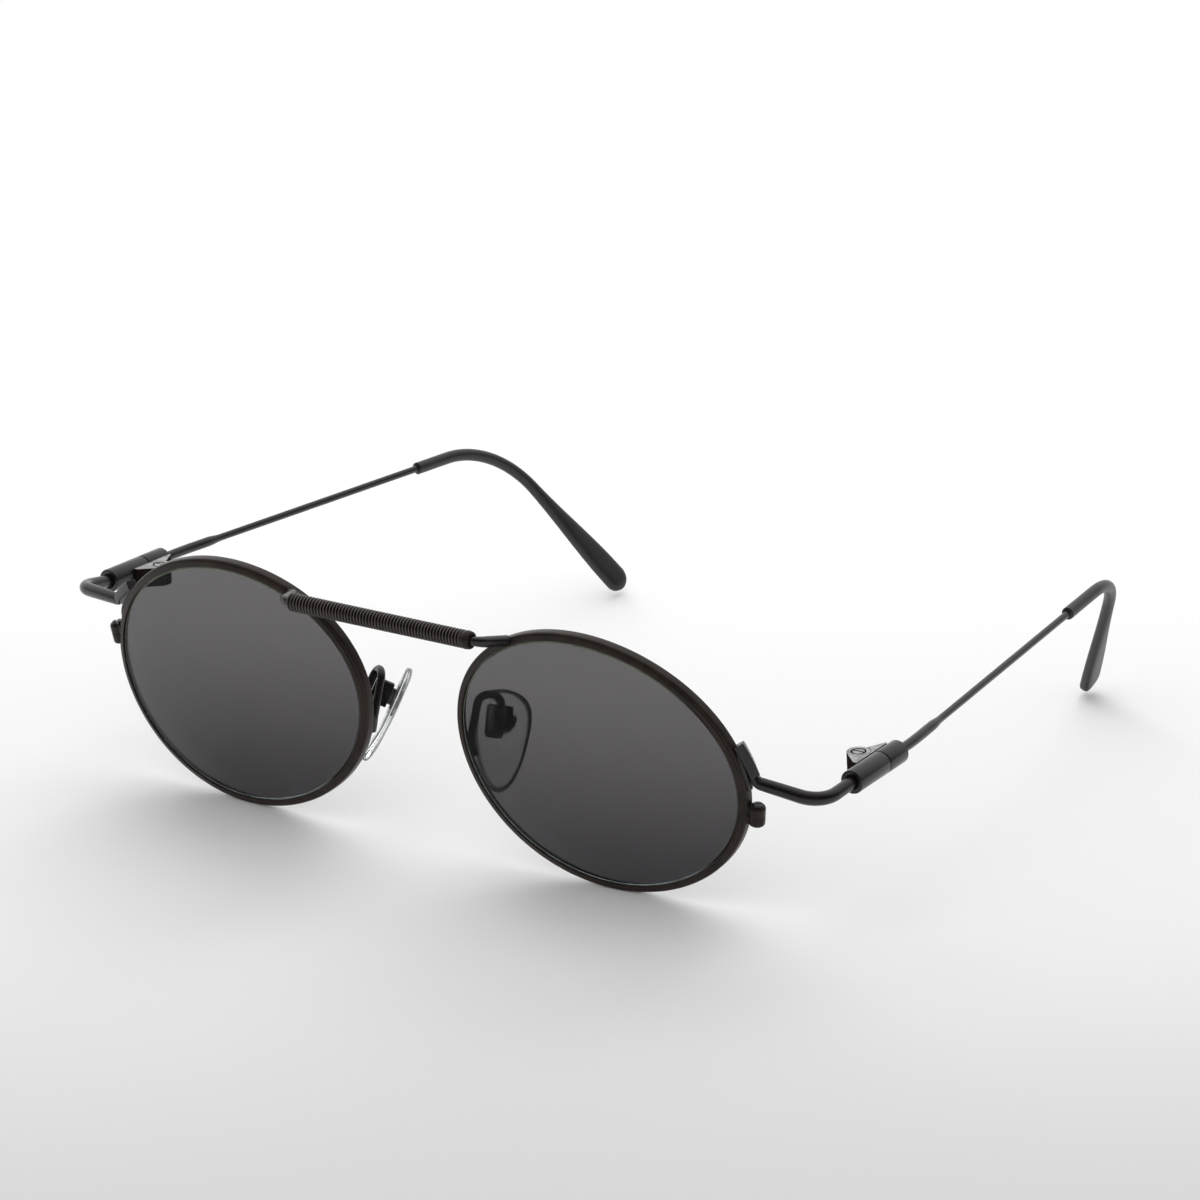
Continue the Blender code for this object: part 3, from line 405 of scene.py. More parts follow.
def painted_edge_glint(mesh, middle_x):
    """Paints a glint as a colour on each point, by its direction from the lens's middle: pale towards
    the lower side and one end, faint and olive along the top, and dark elsewhere."""
    points = np.empty(len(mesh.vertices) * 3, np.float32)
    mesh.vertices.foreach_get("co", points)
    points = points.reshape(-1, 3)
    across = (points[:, 0] - middle_x) / OVAL_HALF_WIDTH
    rise = (points[:, 2] - EYE_HEIGHT) / OVAL_HALF_HEIGHT
    direction = np.arctan2(rise, across)
    pale = np.clip((np.cos(direction - PALE_DIRECTION) - PALE_EDGE) / LIGHT_FADE, 0.0, 1.0)[:, None]
    olive = np.clip((np.cos(direction - OLIVE_DIRECTION) - OLIVE_EDGE) / LIGHT_FADE, 0.0, 1.0)[:, None]
    colour = np.array(BAND_DARK) * (1 - pale) * (1 - olive) + np.array(BAND_PAINTED_PALE_GLINT) * pale
    colour = colour + np.array(BAND_PAINTED_OLIVE_GLINT) * olive * (1 - pale)
    opaque = np.ones(len(colour))
    layer = mesh.attributes.new("painted_edge_glint", "FLOAT_COLOR", "POINT")
    layer.data.foreach_set("color", np.column_stack([colour, opaque]).astype(np.float32).ravel())


lens_grey = grey_glass()
lens_edge = ground_edge()
for side, word in SIDES:
    mesh = grid_mesh(lens_rows(side))
    add_piece(f"{word}_lens", mesh, "front", lens_grey, "lens_grey", f"lens_{word}", sharp=20.0)
    mesh = grid_mesh(band_rows(side), loop=True)
    painted_edge_glint(mesh, side * EYE_SPACING / 2)
    add_piece(f"{word}_lens_edge", mesh, "front", lens_edge, "lens_grey")


# Rim locks
# A short barrel is soldered to each end of the cut rim, with a web of solder in between.
# A slotted steel screw goes down through both and draws the rim shut round its lens.
LOCK_RADIUS = 1.25 * MM
LOCK_HALF_HEIGHT = 1.58 * MM
LOCK_GAP = 0.05 * MM             # between the two barrels
LOCK_BITE = 0.20 * MM            # how far the solder draws the barrels into the rim
LOCK_DROP = 0.30 * MM            # from the cut down to the middle of the two
LOCK_RECESS_SHARE = 0.86         # the floor of the recess for the screw's head, of the barrel's height
LOCK_SCREW_RADIUS = 0.42 * MM
LOCK_SCREW_TAIL = 0.3 * MM       # how far the screw's end stands out below
LOCK_HEAD_RADIUS = 0.80 * MM
LOCK_HEAD_HEIGHT = 0.50 * MM
SLOT_WIDTH = 0.28 * MM
SLOT_DEPTH = 0.26 * MM
WEB_HALF_WIDTH = 0.62 * MM
WEB_TAPER = 0.8                  # its width at the rim, of that at the barrel
POLE = 0.02 * MM                 # the radius where a turned piece is closed by a flat cap


def turned_mesh(profile, place, steps=64, bore=False):
    """A profile of (radius, height) points turned about the Z axis of a frame.  A closed profile leaves
    a bore, and an open one is capped at both ends."""
    turns = around(steps)
    radius, height = (np.array(column)[:, None] for column in zip(*profile))
    points = np.stack(np.broadcast_arrays(radius * np.cos(turns), radius * np.sin(turns), height), axis=-1)
    return grid_mesh(placed(place, points), loop=bore)


def prism_mesh(outline, low, high, place):
    """An outline of (x, y) points drawn out along the Z axis of a frame."""
    outline = np.asarray(outline)
    points = [np.column_stack([outline, np.full(len(outline), height)]) for height in (low, high)]
    return grid_mesh(placed(place, np.stack(points)))


def rectangle(low_x, high_x, low_y, high_y):
    """The four corners, in their order round it."""
    return [(low_x, low_y), (high_x, low_y), (high_x, high_y), (low_x, high_y)]


def combined(mesh, other, operation):
    """The union or the difference of two closed meshes; both are used up."""
    first = linked("first", mesh)
    second = linked("second", other)
    step = first.modifiers.new("cut", "BOOLEAN")
    step.operation = operation
    step.object = second
    step.solver = "EXACT"
    made = bpy.data.meshes.new_from_object(first.evaluated_get(bpy.context.evaluated_depsgraph_get()))
    for item in (first, second):
        bpy.data.objects.remove(item)
    return made


def cut_by(mesh, *cutters):
    """A mesh with each of the cutters taken out of it, in their order."""
    for cutter in cutters:
        mesh = combined(mesh, cutter, "DIFFERENCE")
    return mesh


WORKSHOP = Matrix.Scale(1.0 / MM, 4)     # cut pieces are made at the origin, in millimetres


def settled(mesh, place):
    """A piece that was cut in the workshop, moved to its frame."""
    mesh.transform(place @ WORKSHOP.inverted())
    return mesh


def screw_mesh(place, length, shank, head, head_height):
    """A slotted cheese head on a plain shank; the frame's origin is the tail and Z points to the head."""
    crown = 0.10 * MM
    profile = [
        (POLE, length + 0.4 * crown),
        (0.55 * head, length + 0.3 * crown),
        (head - crown, length),
        (head - 0.3 * crown, length - 0.3 * crown),
        (head, length - crown),
        (head, length - head_height),
        (shank, length - head_height),
        (shank, crown),
        (shank - crown, 0.0),
        (POLE, 0.0),
    ]
    slot = rectangle(-2 * head, 2 * head, -SLOT_WIDTH / 2, SLOT_WIDTH / 2)
    slot = prism_mesh(slot, length - SLOT_DEPTH, length + SLOT_DEPTH, WORKSHOP)
    return settled(cut_by(turned_mesh(profile, WORKSHOP, steps=48), slot), place)


def axis_frame(point, direction):
    """A frame at a point with its Z axis along a direction."""
    turn = Vector(direction).to_track_quat("Z", "Y").to_matrix().to_4x4()
    return Matrix.Translation(Vector(point)) @ turn


def barrel_profile():
    """A barrel's outline as (radius, height): a bore, and a recess in its outer end for the screw's head."""
    bore = LOCK_SCREW_RADIUS + 0.08 * MM
    lip = LOCK_HEAD_RADIUS + 0.10 * MM
    top = LOCK_HALF_HEIGHT
    recess = LOCK_RECESS_SHARE * top
    corners = [(bore, 0.0), (LOCK_RADIUS, 0.0), (LOCK_RADIUS, 0.80 * top), (LOCK_RADIUS - 0.16 * MM, top)]
    corners += [(lip, top), (lip - 0.1 * MM, recess), (bore, recess)]
    radii = [0.02 * MM, 0.02 * MM, 0.20 * MM, 0.12 * MM, 0.05 * MM, 0.05 * MM, 0.05 * MM]
    return rounded_outline(corners, radii)


def lock_web(place, on_rim):
    """The web of solder that joins a barrel to the rim, a little narrower at the rim."""
    foot = np.array(place.inverted() @ Vector(on_rim))[:2]
    toward = unit(foot)
    across = np.array([-toward[1], toward[0]]) * WEB_HALF_WIDTH
    root = toward * MM
    outline = [root - across, foot - WEB_TAPER * across, foot + WEB_TAPER * across, root + across]
    outline = rounded_outline(outline, [0.1 * MM] * 4)
    return prism_mesh(outline, 0.05 * MM, 0.88 * LOCK_HALF_HEIGHT, place)


screw_black = satin_black("black_screw_steel", (0.011, 0.009, 0.008), 0.26)
barrel = barrel_profile()
for side, word in SIDES:
    angle = lock_angle(side)
    on_rim = eye_points(side, angle, RIM_WALL / 2, 0.0)
    up = np.array(eye_place(side).to_3x3().col[2])
    middle = eye_points(side, angle, RIM_WALL + LOCK_RADIUS - LOCK_BITE, 0.0) - up * LOCK_DROP
    for level, sign in (("upper", 1), ("lower", -1)):
        place = axis_frame(middle + up * sign * LOCK_GAP / 2, up * sign)
        name = f"{word}_lock_{level}"
        mesh = turned_mesh(barrel, place, bore=True)
        add_piece(name, mesh, "front", rim_black, "rim_black", f"lock_{level}_{word}")
        add_piece(name + "_web", lock_web(place, on_rim), "front", rim_black, "rim_black")
    length = LOCK_SCREW_TAIL + 2 * LOCK_HALF_HEIGHT + LOCK_GAP + 0.60 * LOCK_HEAD_HEIGHT
    place = axis_frame(middle - up * (LOCK_GAP / 2 + LOCK_HALF_HEIGHT + LOCK_SCREW_TAIL), up)
    mesh = screw_mesh(place, length, LOCK_SCREW_RADIUS, LOCK_HEAD_RADIUS, LOCK_HEAD_HEIGHT)
    add_piece(f"{word}_lock_screw", mesh, "front", screw_black, "screw_black", f"lock_screw_{word}")


# Bridge bar
# One drawn wire, coated black, goes across the top of the front and is bent back at both ends.
# The ends lie on the front upper edges of the rims and are soldered there.
BAR_RADIUS = 0.70 * MM
BAR_BEND_RADIUS = 1.8 * MM
BAR_SEAT_ANGLE = math.radians(131.0)
BAR_OVERHANG = 0.9 * MM          # how far the cut end stands past the seat
BAR_SEAT_LEAN = math.radians(25.0)   # from straight in front of the rim towards above it
BAR_SEAT_GAP = 0.05 * MM         # the solder's thickness between the bar and the rim
BAR_SWELL = 0.14                 # the soldered ends are this much thicker
BAR_SWELL_START = 17.5 * MM      # from the middle
BAR_SWELL_LENGTH = 1.5 * MM
BAR_SOLDER_RADIUS = 0.62 * MM
BAR_SOLDER_REACH = (5.5, -3.0)   # degrees round the rim, on either side of the seat
RIM_EDGE = 0.35 * MM
COIL_LENGTH = 34.2 * MM


def rounded_path(corners, radii, steps=12):
    """Straight runs between the corners, with an arc of the given radius at each inner corner."""
    corners = [np.array(corner, float) for corner in corners]
    arcs = [arc(corners[i], corners[i + 1], corners[i + 2], radius, steps) for i, radius in enumerate(radii)]
    return np.concatenate([corners[:1], *arcs, corners[-1:]])


def directions(path):
    """At each station the direction half-way between the runs before and after it."""
    runs = unit(np.diff(path, axis=0))
    return unit(np.concatenate([runs[:1], runs[:-1] + runs[1:], runs[-1:]]))


def swept(path, sections, reference=(0.0, 0.0, 1.0)):
    """Sections carried along a path: station + across u + over v, where across is square to the path
    and to the reference direction, and over is square to both."""
    ahead = directions(path)
    across = unit(np.cross(ahead, reference))
    over = np.cross(across, ahead)
    sections = np.broadcast_to(sections, (len(path), *np.shape(sections)[-2:]))
    return path[:, None] + across[:, None] * sections[..., :1] + over[:, None] * sections[..., 1:]


def ring(steps):
    """The points of a circle of radius 1."""
    turns = around(steps)
    return np.stack([np.cos(turns), np.sin(turns)], axis=-1)


def squared(values, power):
    """Sines and cosines, raised to a power with their sign kept: below 1 it fills out a circle's corners."""
    return np.sign(values) * np.abs(values) ** power


def wire_mesh(path, radii, reference=(0.0, 0.0, 1.0), chamfer=0.10 * MM, steps=32, square=0.0):
    """A wire with both cut ends chamfered: at each station a circle, both of whose coordinates are raised
    to the power 1 - 0.72 s.  Where s is 0 it stays a circle; towards 1 it becomes a rounded square."""
    radii = np.broadcast_to(radii, len(path)).astype(float)
    square = np.broadcast_to(square, len(path)).astype(float)
    first = unit(path[1] - path[0]) * chamfer
    last = unit(path[-1] - path[-2]) * chamfer
    stations = np.concatenate([path[:1], path[:1] + first, path[1:-1], path[-1:] - last, path[-1:]])
    radii = np.concatenate([[radii[0] - chamfer], radii, [radii[-1] - chamfer]])[:, None, None]
    power = 1.0 - 0.72 * np.concatenate([square[:1], square, square[-1:]])[:, None, None]
    return grid_mesh(swept(stations, squared(ring(steps), power) * radii, reference))


def solder_mesh(path, radius):
    """A fillet of solder along a seat: a round bead whose radius grows from both ends as the root of
    the sine of the share of its length."""
    share = np.linspace(0.0, 1.0, len(path))
    radii = radius * np.sqrt(np.clip(np.sin(math.pi * share), 0.02, 1.0))
    return grid_mesh(swept(path, ring(20) * radii[:, None, None]))


def bar_seat(side):
    """Where an end of the bar lies: on the front upper edge of the rim, towards the nose."""
    reach = BAR_RADIUS + BAR_SEAT_GAP
    outward = RIM_WALL - RIM_EDGE + reach * math.sin(BAR_SEAT_LEAN)
    back = -RIM_DEPTH / 2 - reach * math.cos(BAR_SEAT_LEAN)
    return eye_points(side, BAR_SEAT_ANGLE, outward, back)


wire_black = satin_black("satin_black_wire", (0.0085, 0.0065, 0.0058), 0.26)
bar_height = EYE_HEIGHT + BAR_RISE
bar_y = FRONT_MIDDLE - BAR_FORWARD
straight_half = COIL_LENGTH / 2 + 0.3 * MM + BAR_BEND_RADIUS / 2
bends = {side: np.array([side * straight_half, bar_y, bar_height]) for side, word in SIDES}
ends = {side: bar_seat(side) + unit(bar_seat(side) - bends[side]) * BAR_OVERHANG for side, word in SIDES}
path = rounded_path([ends[-1], bends[-1], bends[1], ends[1]], [BAR_BEND_RADIUS, BAR_BEND_RADIUS])
swell = np.clip((np.abs(path[:, 0]) - BAR_SWELL_START) / BAR_SWELL_LENGTH, 0.0, 1.0)
radii = BAR_RADIUS * (1.0 + BAR_SWELL * swell)
mesh = wire_mesh(path, radii, reference=(0.0, 1.0, 0.0), square=0.35)
add_piece("bar", mesh, "front", wire_black, "wire_black", "bridge_bar")
for side, word in SIDES:
    angles = BAR_SEAT_ANGLE + np.radians(np.linspace(*BAR_SOLDER_REACH, 20))
    seam = eye_points(side, angles, RIM_WALL - 0.15 * MM, -0.80 * MM)
    mesh = solder_mesh(seam, BAR_SOLDER_RADIUS)
    add_piece(f"{word}_bar_solder", mesh, "front", wire_black, "wire_black")


# Bridge winding
# Fine wire wound close round the bar, turn against turn, from the left end of the straight run
# to the right one, where the last turns are drowned in a collar of solder.
WINDING_PITCH = 0.572 * MM
WINDING_WIRE_RADIUS = 0.252 * MM
WINDING_OUTER_RADIUS = 1.42 * MM
COLLAR_LENGTH = 1.45 * MM
COLLAR_OVERLAP = 0.1 * MM        # over the last turn of the wire
COLLAR_BORE = 0.5 * MM
COLLAR_END_RADIUS = 1.30 * MM
COLLAR_BULGE_RADIUS = 1.46 * MM
POINTS_PER_TURN = 28


def winding_rows():
    """A helix: the angle grows evenly with x, and each section is a circle across the wire, made of
    the direction out from the bar and the bar's own direction."""
    start = -COIL_LENGTH / 2 + WINDING_WIRE_RADIUS
    end = COIL_LENGTH / 2 - COLLAR_LENGTH
    turns = (end - start) / WINDING_PITCH
    count = int(turns * POINTS_PER_TURN) + 1
    share = np.linspace(0.0, 1.0, count)
    angle = 2 * math.pi * turns * share
    out = np.stack([np.zeros(count), np.cos(angle), np.sin(angle)], axis=-1)
    radius = WINDING_OUTER_RADIUS - WINDING_WIRE_RADIUS
    middle = np.array([0.0, bar_y, bar_height]) + out * radius
    middle[:, 0] += start + (end - start) * share
    along = np.array([1.0, 0.0, 0.0])
    circle = ring(12) * WINDING_WIRE_RADIUS
    return middle[:, None] + out[:, None] * circle[:, :1] + along * circle[:, 1:]


def winding_with_painted_highlight():
    """The same black, with a brown grey highlight painted in patches along the outermost line of each turn.
    """
    finish = Finish("wound_wire_coating", roughness=0.30, specular_ior_level=0.40)
    off_y = finish.part(finish.place(), "Y") - bar_y
    off_z = finish.part(finish.place(), "Z") - bar_height
    square = (off_y * off_y + off_z * off_z) * (1.0 / WINDING_OUTER_RADIUS**2)
    patches = finish.noise(1.4 * MM, detail=3.0)
    # painted highlight: the crest of each turn is lighter, in patches
    painted_crest_highlight = square.ramp(0.94, 1.01) * patches.ramp(0.15, 0.60, 0.55, 1.0)
    finish.set("Base Color", finish.blend(painted_crest_highlight, (0.0050, 0.0038, 0.0034), (0.15, 0.108, 0.095)))
    return finish.material


winding_black = winding_with_painted_highlight()
add_piece("winding", grid_mesh(winding_rows()), "front", winding_black, "wire_black", "bridge_coil")
collar_length = COLLAR_LENGTH + COLLAR_OVERLAP
collar = [(COLLAR_BORE, 0.0), (COLLAR_END_RADIUS, 0.0), (COLLAR_BULGE_RADIUS, 0.40 * collar_length)]
collar += [(COLLAR_END_RADIUS, collar_length), (0.9 * MM, collar_length), (COLLAR_BORE, 0.7 * collar_length)]
collar = rounded_outline(collar, [0.02 * MM, 0.10 * MM, 0.6 * MM, 0.40 * MM, 0.10 * MM, 0.02 * MM], steps=6)
place = axis_frame((COIL_LENGTH / 2 - collar_length, bar_y, bar_height), (1.0, 0.0, 0.0))
add_piece("winding_collar", turned_mesh(collar, place, bore=True), "front", rim_black, "wire_black")


# End pieces
# Each is a thick wire, laid along the outer side of the rim with its end cut off square, bent out
# and round to the back, and pushed into the front sleeve of the hinge.
END_WIRE_RADIUS = 1.07 * MM
END_SEAT_TOP = math.radians(35.0)   # round the rim, where the cut end lies
END_SEAT_FOOT = math.radians(20.5)  # and where the wire leaves the rim
END_BLOCK_HALF = 0.80 * MM
END_FOOT_LIFT = 0.85 * MM        # how far the foot stands off the rim
END_LIFT_SKEW = 0.40 * MM        # less on the left and more on the right
END_NECK_RADIUS = 0.98 * MM
END_TAIL_RADIUS = 0.95 * MM      # inside the sleeve
END_NECK = 1.2 * MM              # these three are lengths along the wire, past its foot
END_FULL_START = 5.0 * MM
END_FULL_STOP = 9.0 * MM
END_FOOT_RADIUS = 1.1 * MM
END_BEND_RADIUS = 4.6 * MM
END_CORNER_SPACING = 140.0 * MM  # between the left and the right corner
END_CORNER_BACK = 8.7 * MM       # behind the middle of the lenses
END_CORNER_DROP = 1.5 * MM       # below the foot
END_CORNER_SKEW = 0.6 * MM       # more on the left and less on the right
END_SOLDER_BACK = 0.42 * MM      # from the middle of the rim to the beads in front and behind
END_SOLDER_OUT = 0.18 * MM
END_SOLDER_RADIUS = 0.42 * MM
END_SOLDER_TOP = 0.01            # radians: its ends lie this much lower round the rim than the seat's
END_SOLDER_FOOT = 0.06
SLEEVE_SPACING = 140.6 * MM      # between the mouths of the two front sleeves
SLEEVE_BACK = 16.0 * MM          # the mouths, behind the middle of the lenses
SLEEVE_RISE = 3.5 * MM           # and above it
SLEEVE_SPLAY = math.radians(1.5)
SLEEVE_RADIUS = 1.85 * MM
FRONT_SLEEVE_LENGTH = 8.2 * MM
REAR_SLEEVE_LENGTH = 5.0 * MM
TEMPLE_PITCH = math.radians(2.35)
TEMPLE_SKEW = 1.2 * MM           # what is left of the hinges' skew at the ears
TEMPLE_REACH = 73.3 * MM         # from the temple's set to the corner of its ear bend
WIRE_STOP = 1.0 * MM             # both wires end this far from the seam of the sleeves


def sleeve_place(side):
    """Frame at the seam of a hinge's sleeves: Y runs back along the temple, Z is the hinge's axis."""
    height = EYE_HEIGHT + SLEEVE_RISE - side * HINGE_SKEW
    corner = Vector((side * SLEEVE_SPACING / 2, FRONT_MIDDLE + SLEEVE_BACK, height))
    pitch = TEMPLE_PITCH + side * math.atan((HINGE_SKEW - TEMPLE_SKEW) / TEMPLE_REACH)
    turn = Matrix.Rotation(side * SLEEVE_SPLAY, 4, "Z") @ Matrix.Rotation(pitch, 4, "X")
    return Matrix.Translation(corner) @ turn @ Matrix.Translation((0.0, FRONT_SLEEVE_LENGTH, 0.0))


def lengths_along(path):
    """How far along a path each of its stations lies."""
    return np.concatenate([[0.0], np.cumsum(np.linalg.norm(np.diff(path, axis=0), axis=-1))])


def end_piece_path(side):
    """The wire's middle line, how square it is and its half size: it is forged square along the rim,
    thinner where it leaves it, and round and full in the bend."""
    lift = END_FOOT_LIFT - side * END_LIFT_SKEW
    outward = RIM_WALL + END_BLOCK_HALF + np.linspace(-0.05 * MM, lift, 12)
    top = END_SEAT_TOP + 0.80 * skew_angle(side)
    on_rim = eye_points(side, np.linspace(top, END_SEAT_FOOT + skew_angle(side), 12), outward, 0.0)
    foot = on_rim[-1]
    height = foot[2] - END_CORNER_DROP - side * END_CORNER_SKEW
    corner = (side * END_CORNER_SPACING / 2, FRONT_MIDDLE + END_CORNER_BACK, height)
    stop, mouth = placed(sleeve_place(side), [(0, -WIRE_STOP, 0), (0, -FRONT_SLEEVE_LENGTH, 0)])
    bends = rounded_path([on_rim[-2], foot, corner, mouth], [END_FOOT_RADIUS, END_BEND_RADIUS], steps=16)
    path = np.concatenate([on_rim[:-1], bends[1:], [stop]])
    along = lengths_along(path)
    shoulder = along[len(on_rim) - 1]
    square = np.clip((shoulder + 0.3 * MM - along) / (0.5 * MM), 0.0, 1.0)
    past_foot = shoulder + np.array([0.0, END_NECK, END_FULL_START, END_FULL_STOP])
    stations = [0.0, *past_foot, along[-1]]
    sizes = [END_BLOCK_HALF, END_BLOCK_HALF, END_NECK_RADIUS]
    sizes += [END_WIRE_RADIUS, END_WIRE_RADIUS, END_TAIL_RADIUS]
    return path, square, np.interp(along, stations, sizes)


for side, word in SIDES:
    path, square, radii = end_piece_path(side)
    mesh = wire_mesh(path, radii, chamfer=0.06 * MM, steps=48, square=square)
    add_piece(f"{word}_end_piece", mesh, "front", wire_black, "wire_black", f"end_piece_{word}")
    seat = np.linspace(END_SEAT_TOP - END_SOLDER_TOP, END_SEAT_FOOT - END_SOLDER_FOOT, 24)
    seat = seat + skew_angle(side)
    for end, back in (("front", -END_SOLDER_BACK), ("back", END_SOLDER_BACK)):
        bead = eye_points(side, seat, RIM_WALL + END_SOLDER_OUT, back)
        mesh = solder_mesh(bead, END_SOLDER_RADIUS)
        add_piece(f"{word}_end_solder_{end}", mesh, "front", wire_black, "wire_black")


# Hinge sleeves
# Two turned tubes on each side, coated black, one over the end of the end piece and one over the
# end of the temple wire; they meet at the hinge.
SLEEVE_SEAM = 0.10 * MM
FRONT_SLEEVE_BORE = 1.15 * MM
REAR_SLEEVE_BORE = 0.92 * MM


def sleeve_profile(bore, length):
    """A tube's wall as (radius, height), its edges rounded."""
    corners = [(bore, 0.0), (SLEEVE_RADIUS, 0.0), (SLEEVE_RADIUS, length), (bore, length)]
    return rounded_outline(corners, [0.06 * MM, 0.16 * MM, 0.16 * MM, 0.06 * MM], steps=5)


sleeve_black = satin_black("satin_black_sleeve", (0.0110, 0.0100, 0.0102), 0.24)
backwards = Matrix.Rotation(-math.pi / 2, 4, "X")
for side, word in SIDES:
    for end, body, start, length, bore in (
        ("front", "front", -FRONT_SLEEVE_LENGTH, FRONT_SLEEVE_LENGTH - SLEEVE_SEAM / 2, FRONT_SLEEVE_BORE),
        ("rear", f"temple_{word}", SLEEVE_SEAM / 2, REAR_SLEEVE_LENGTH - SLEEVE_SEAM / 2, REAR_SLEEVE_BORE),
    ):
        place = sleeve_place(side) @ Matrix.Translation((0.0, start, 0.0)) @ backwards
        mesh = turned_mesh(sleeve_profile(bore, length), place, steps=72, bore=True)
        add_piece(f"{word}_{end}_sleeve", mesh, body, sleeve_black, "sleeve_black", f"{end}_sleeve_{word}")


# Hinges
# A nickelled leaf is soldered to the inner side of each sleeve.  The front one ends in two knuckles
# and the rear one in the knuckle between them, and a slotted screw goes down through all three.
KNUCKLE_RADIUS = 1.80 * MM
KNUCKLE_HEIGHT = 0.95 * MM
PIVOT_GAP = 0.10 * MM
FRONT_LEAF_LENGTH = 3.9 * MM     # from the hinge axis
REAR_LEAF_LENGTH = 4.7 * MM
LEAF_LIFT = -0.35 * MM           # the middle of the hinge, above the middle of the sleeves
LEAF_WALL = 2.05 * MM            # from the hinge axis to the soldered side of a leaf
LEAF_SEAM = 0.06 * MM            # half the gap between the two leaves at the sleeves
HINGE_OFFSET = 3.80 * MM         # from the middle of the sleeves in to the hinge's axis
HINGE_HEIGHT = 3 * KNUCKLE_HEIGHT + 2 * PIVOT_GAP
HINGE_LOW = LEAF_LIFT - HINGE_HEIGHT / 2
HINGE_HIGH = LEAF_LIFT + HINGE_HEIGHT / 2
KNUCKLE_LOW = LEAF_LIFT - KNUCKLE_HEIGHT / 2
KNUCKLE_HIGH = LEAF_LIFT + KNUCKLE_HEIGHT / 2
KNUCKLE_ROOM = KNUCKLE_RADIUS + PIVOT_GAP
HINGE_SCREW_RADIUS = 0.42 * MM
HINGE_BORE = 0.52 * MM           # its radius
HINGE_HEAD_RADIUS = 0.95 * MM
HINGE_HEAD_HEIGHT = 0.39 * MM
HINGE_RECESS_RADIUS = 1.19 * MM
HINGE_RECESS_DEPTH = 0.45 * MM
HINGE_SCREW_INSET = 0.05 * MM    # at its tail
HINGE_SCREW_PROUD = 0.01 * MM    # at its head
BARE_TOP_DEPTH = 0.12 * MM           # what lies less than this below the top stays bare nickel; lower down the sides are painted dark as shade
LEAF_EDGE = 0.07 * MM
LEAF_CORNER = (-1.25 * MM, -1.29 * MM)   # where a leaf's edge meets its knuckle


def bright_nickel(name, roughness, dark=0.24, light=0.46):
    """Filed nickel: soft hair lines along the leaf and small clouds in its shine."""
    finish = Finish(name, metallic=1.0)
    lines = finish.noise(0.25 * MM, detail=3.0, stretch=(1.0, 0.12, 1.0))
    clouds = finish.noise(1.2 * MM, detail=2.0)
    dull = (dark, 0.98 * dark, 0.96 * dark)
    finish.set("Base Color", finish.blend(clouds.ramp(0.3, 0.7), dull, (light, light, 1.01 * light)))
    finish.set("Roughness", roughness + lines * 0.10 + clouds * 0.06)
    finish.bump(lines, depth=0.006 * MM, strength=0.4)
    return finish.material


def face_vectors(mesh, kind):
    """The normals or the centres of a mesh's faces."""
    values = np.empty(len(mesh.polygons) * 3, np.float32)
    mesh.polygons.foreach_get(kind, values)
    return values.reshape(-1, 3)


def paint_side_shade(piece, place, coating):
    """The top of the hinge stays bright nickel: the faces that look along its axis and lie near its top.
    The rest are painted a dull black as shade, where nickel sides would mirror the dark room in front."""
    up = np.array(place.to_3x3().col[2])
    height = (face_vectors(piece.data, "center") - np.array(place.translation)) @ up
    dark_sides = (face_vectors(piece.data, "normal") @ up < 0.7) | (height < HINGE_HIGH - BARE_TOP_DEPTH)
    piece.data.materials.append(coating)
    piece.data.polygons.foreach_set("material_index", dark_sides.astype(np.int32))


def leaf(side, corners, radii):
    """A leaf's outline from above, drawn out over the height of the hinge."""
    return prism_mesh(rounded_outline(corners, radii) * (side, 1.0), HINGE_LOW, HINGE_HIGH, WORKSHOP)


def post(radius, low, high):
    """A round post on the hinge's axis."""
    return prism_mesh(ring(48) * radius, low, high, WORKSHOP)


def front_leaf(side):
    """The outline, with a full post joined on, cut for the middle knuckle, the screw and its head."""
    tip = -FRONT_LEAF_LENGTH
    corners = [(LEAF_WALL, tip), (LEAF_WALL - 0.6 * MM, tip), LEAF_CORNER]
    corners += [(0.0, 0.0), (LEAF_WALL, -LEAF_SEAM)]
    mesh = leaf(side, corners, [0.1 * MM, 0.3 * MM, 0.4 * MM, 0.05 * MM, 0.02 * MM])
    mesh = combined(mesh, post(KNUCKLE_RADIUS, HINGE_LOW, HINGE_HIGH), "UNION")
    return cut_by(
        mesh,
        post(KNUCKLE_ROOM, KNUCKLE_LOW - PIVOT_GAP, KNUCKLE_HIGH + PIVOT_GAP),
        post(HINGE_BORE, HINGE_LOW - MM, HINGE_HIGH + MM),
        post(HINGE_RECESS_RADIUS, HINGE_HIGH - HINGE_RECESS_DEPTH, HINGE_HIGH + MM),
    )


def rear_leaf(side):
    """The outline, cut for the two outer knuckles, with the middle knuckle joined on, and bored."""
    tip = REAR_LEAF_LENGTH
    corners = [(LEAF_WALL, LEAF_SEAM), (0.3 * MM, LEAF_SEAM), (0.4 * MM, 2.0 * MM)]
    corners += [(LEAF_WALL - 0.3 * MM, tip), (LEAF_WALL, tip)]
    mesh = cut_by(
        leaf(side, corners, [0.02 * MM, 0.05 * MM, 0.4 * MM, 0.1 * MM, 0.1 * MM]),
        post(KNUCKLE_ROOM, KNUCKLE_HIGH, HINGE_HIGH + MM),
        post(KNUCKLE_ROOM, HINGE_LOW - MM, KNUCKLE_LOW),
    )
    mesh = combined(mesh, post(KNUCKLE_RADIUS, KNUCKLE_LOW, KNUCKLE_HIGH), "UNION")
    return cut_by(mesh, post(HINGE_BORE, HINGE_LOW - MM, HINGE_HIGH + MM))


def soft_edges(piece, width):
    """Rounds the sharp edges of a cut piece."""
    step = piece.modifiers.new("soft_edges", "BEVEL")
    step.width = width
    step.segments = 2
    step.limit_method = "ANGLE"
    step.angle_limit = math.radians(SHARP_ANGLE)
    step.harden_normals = True


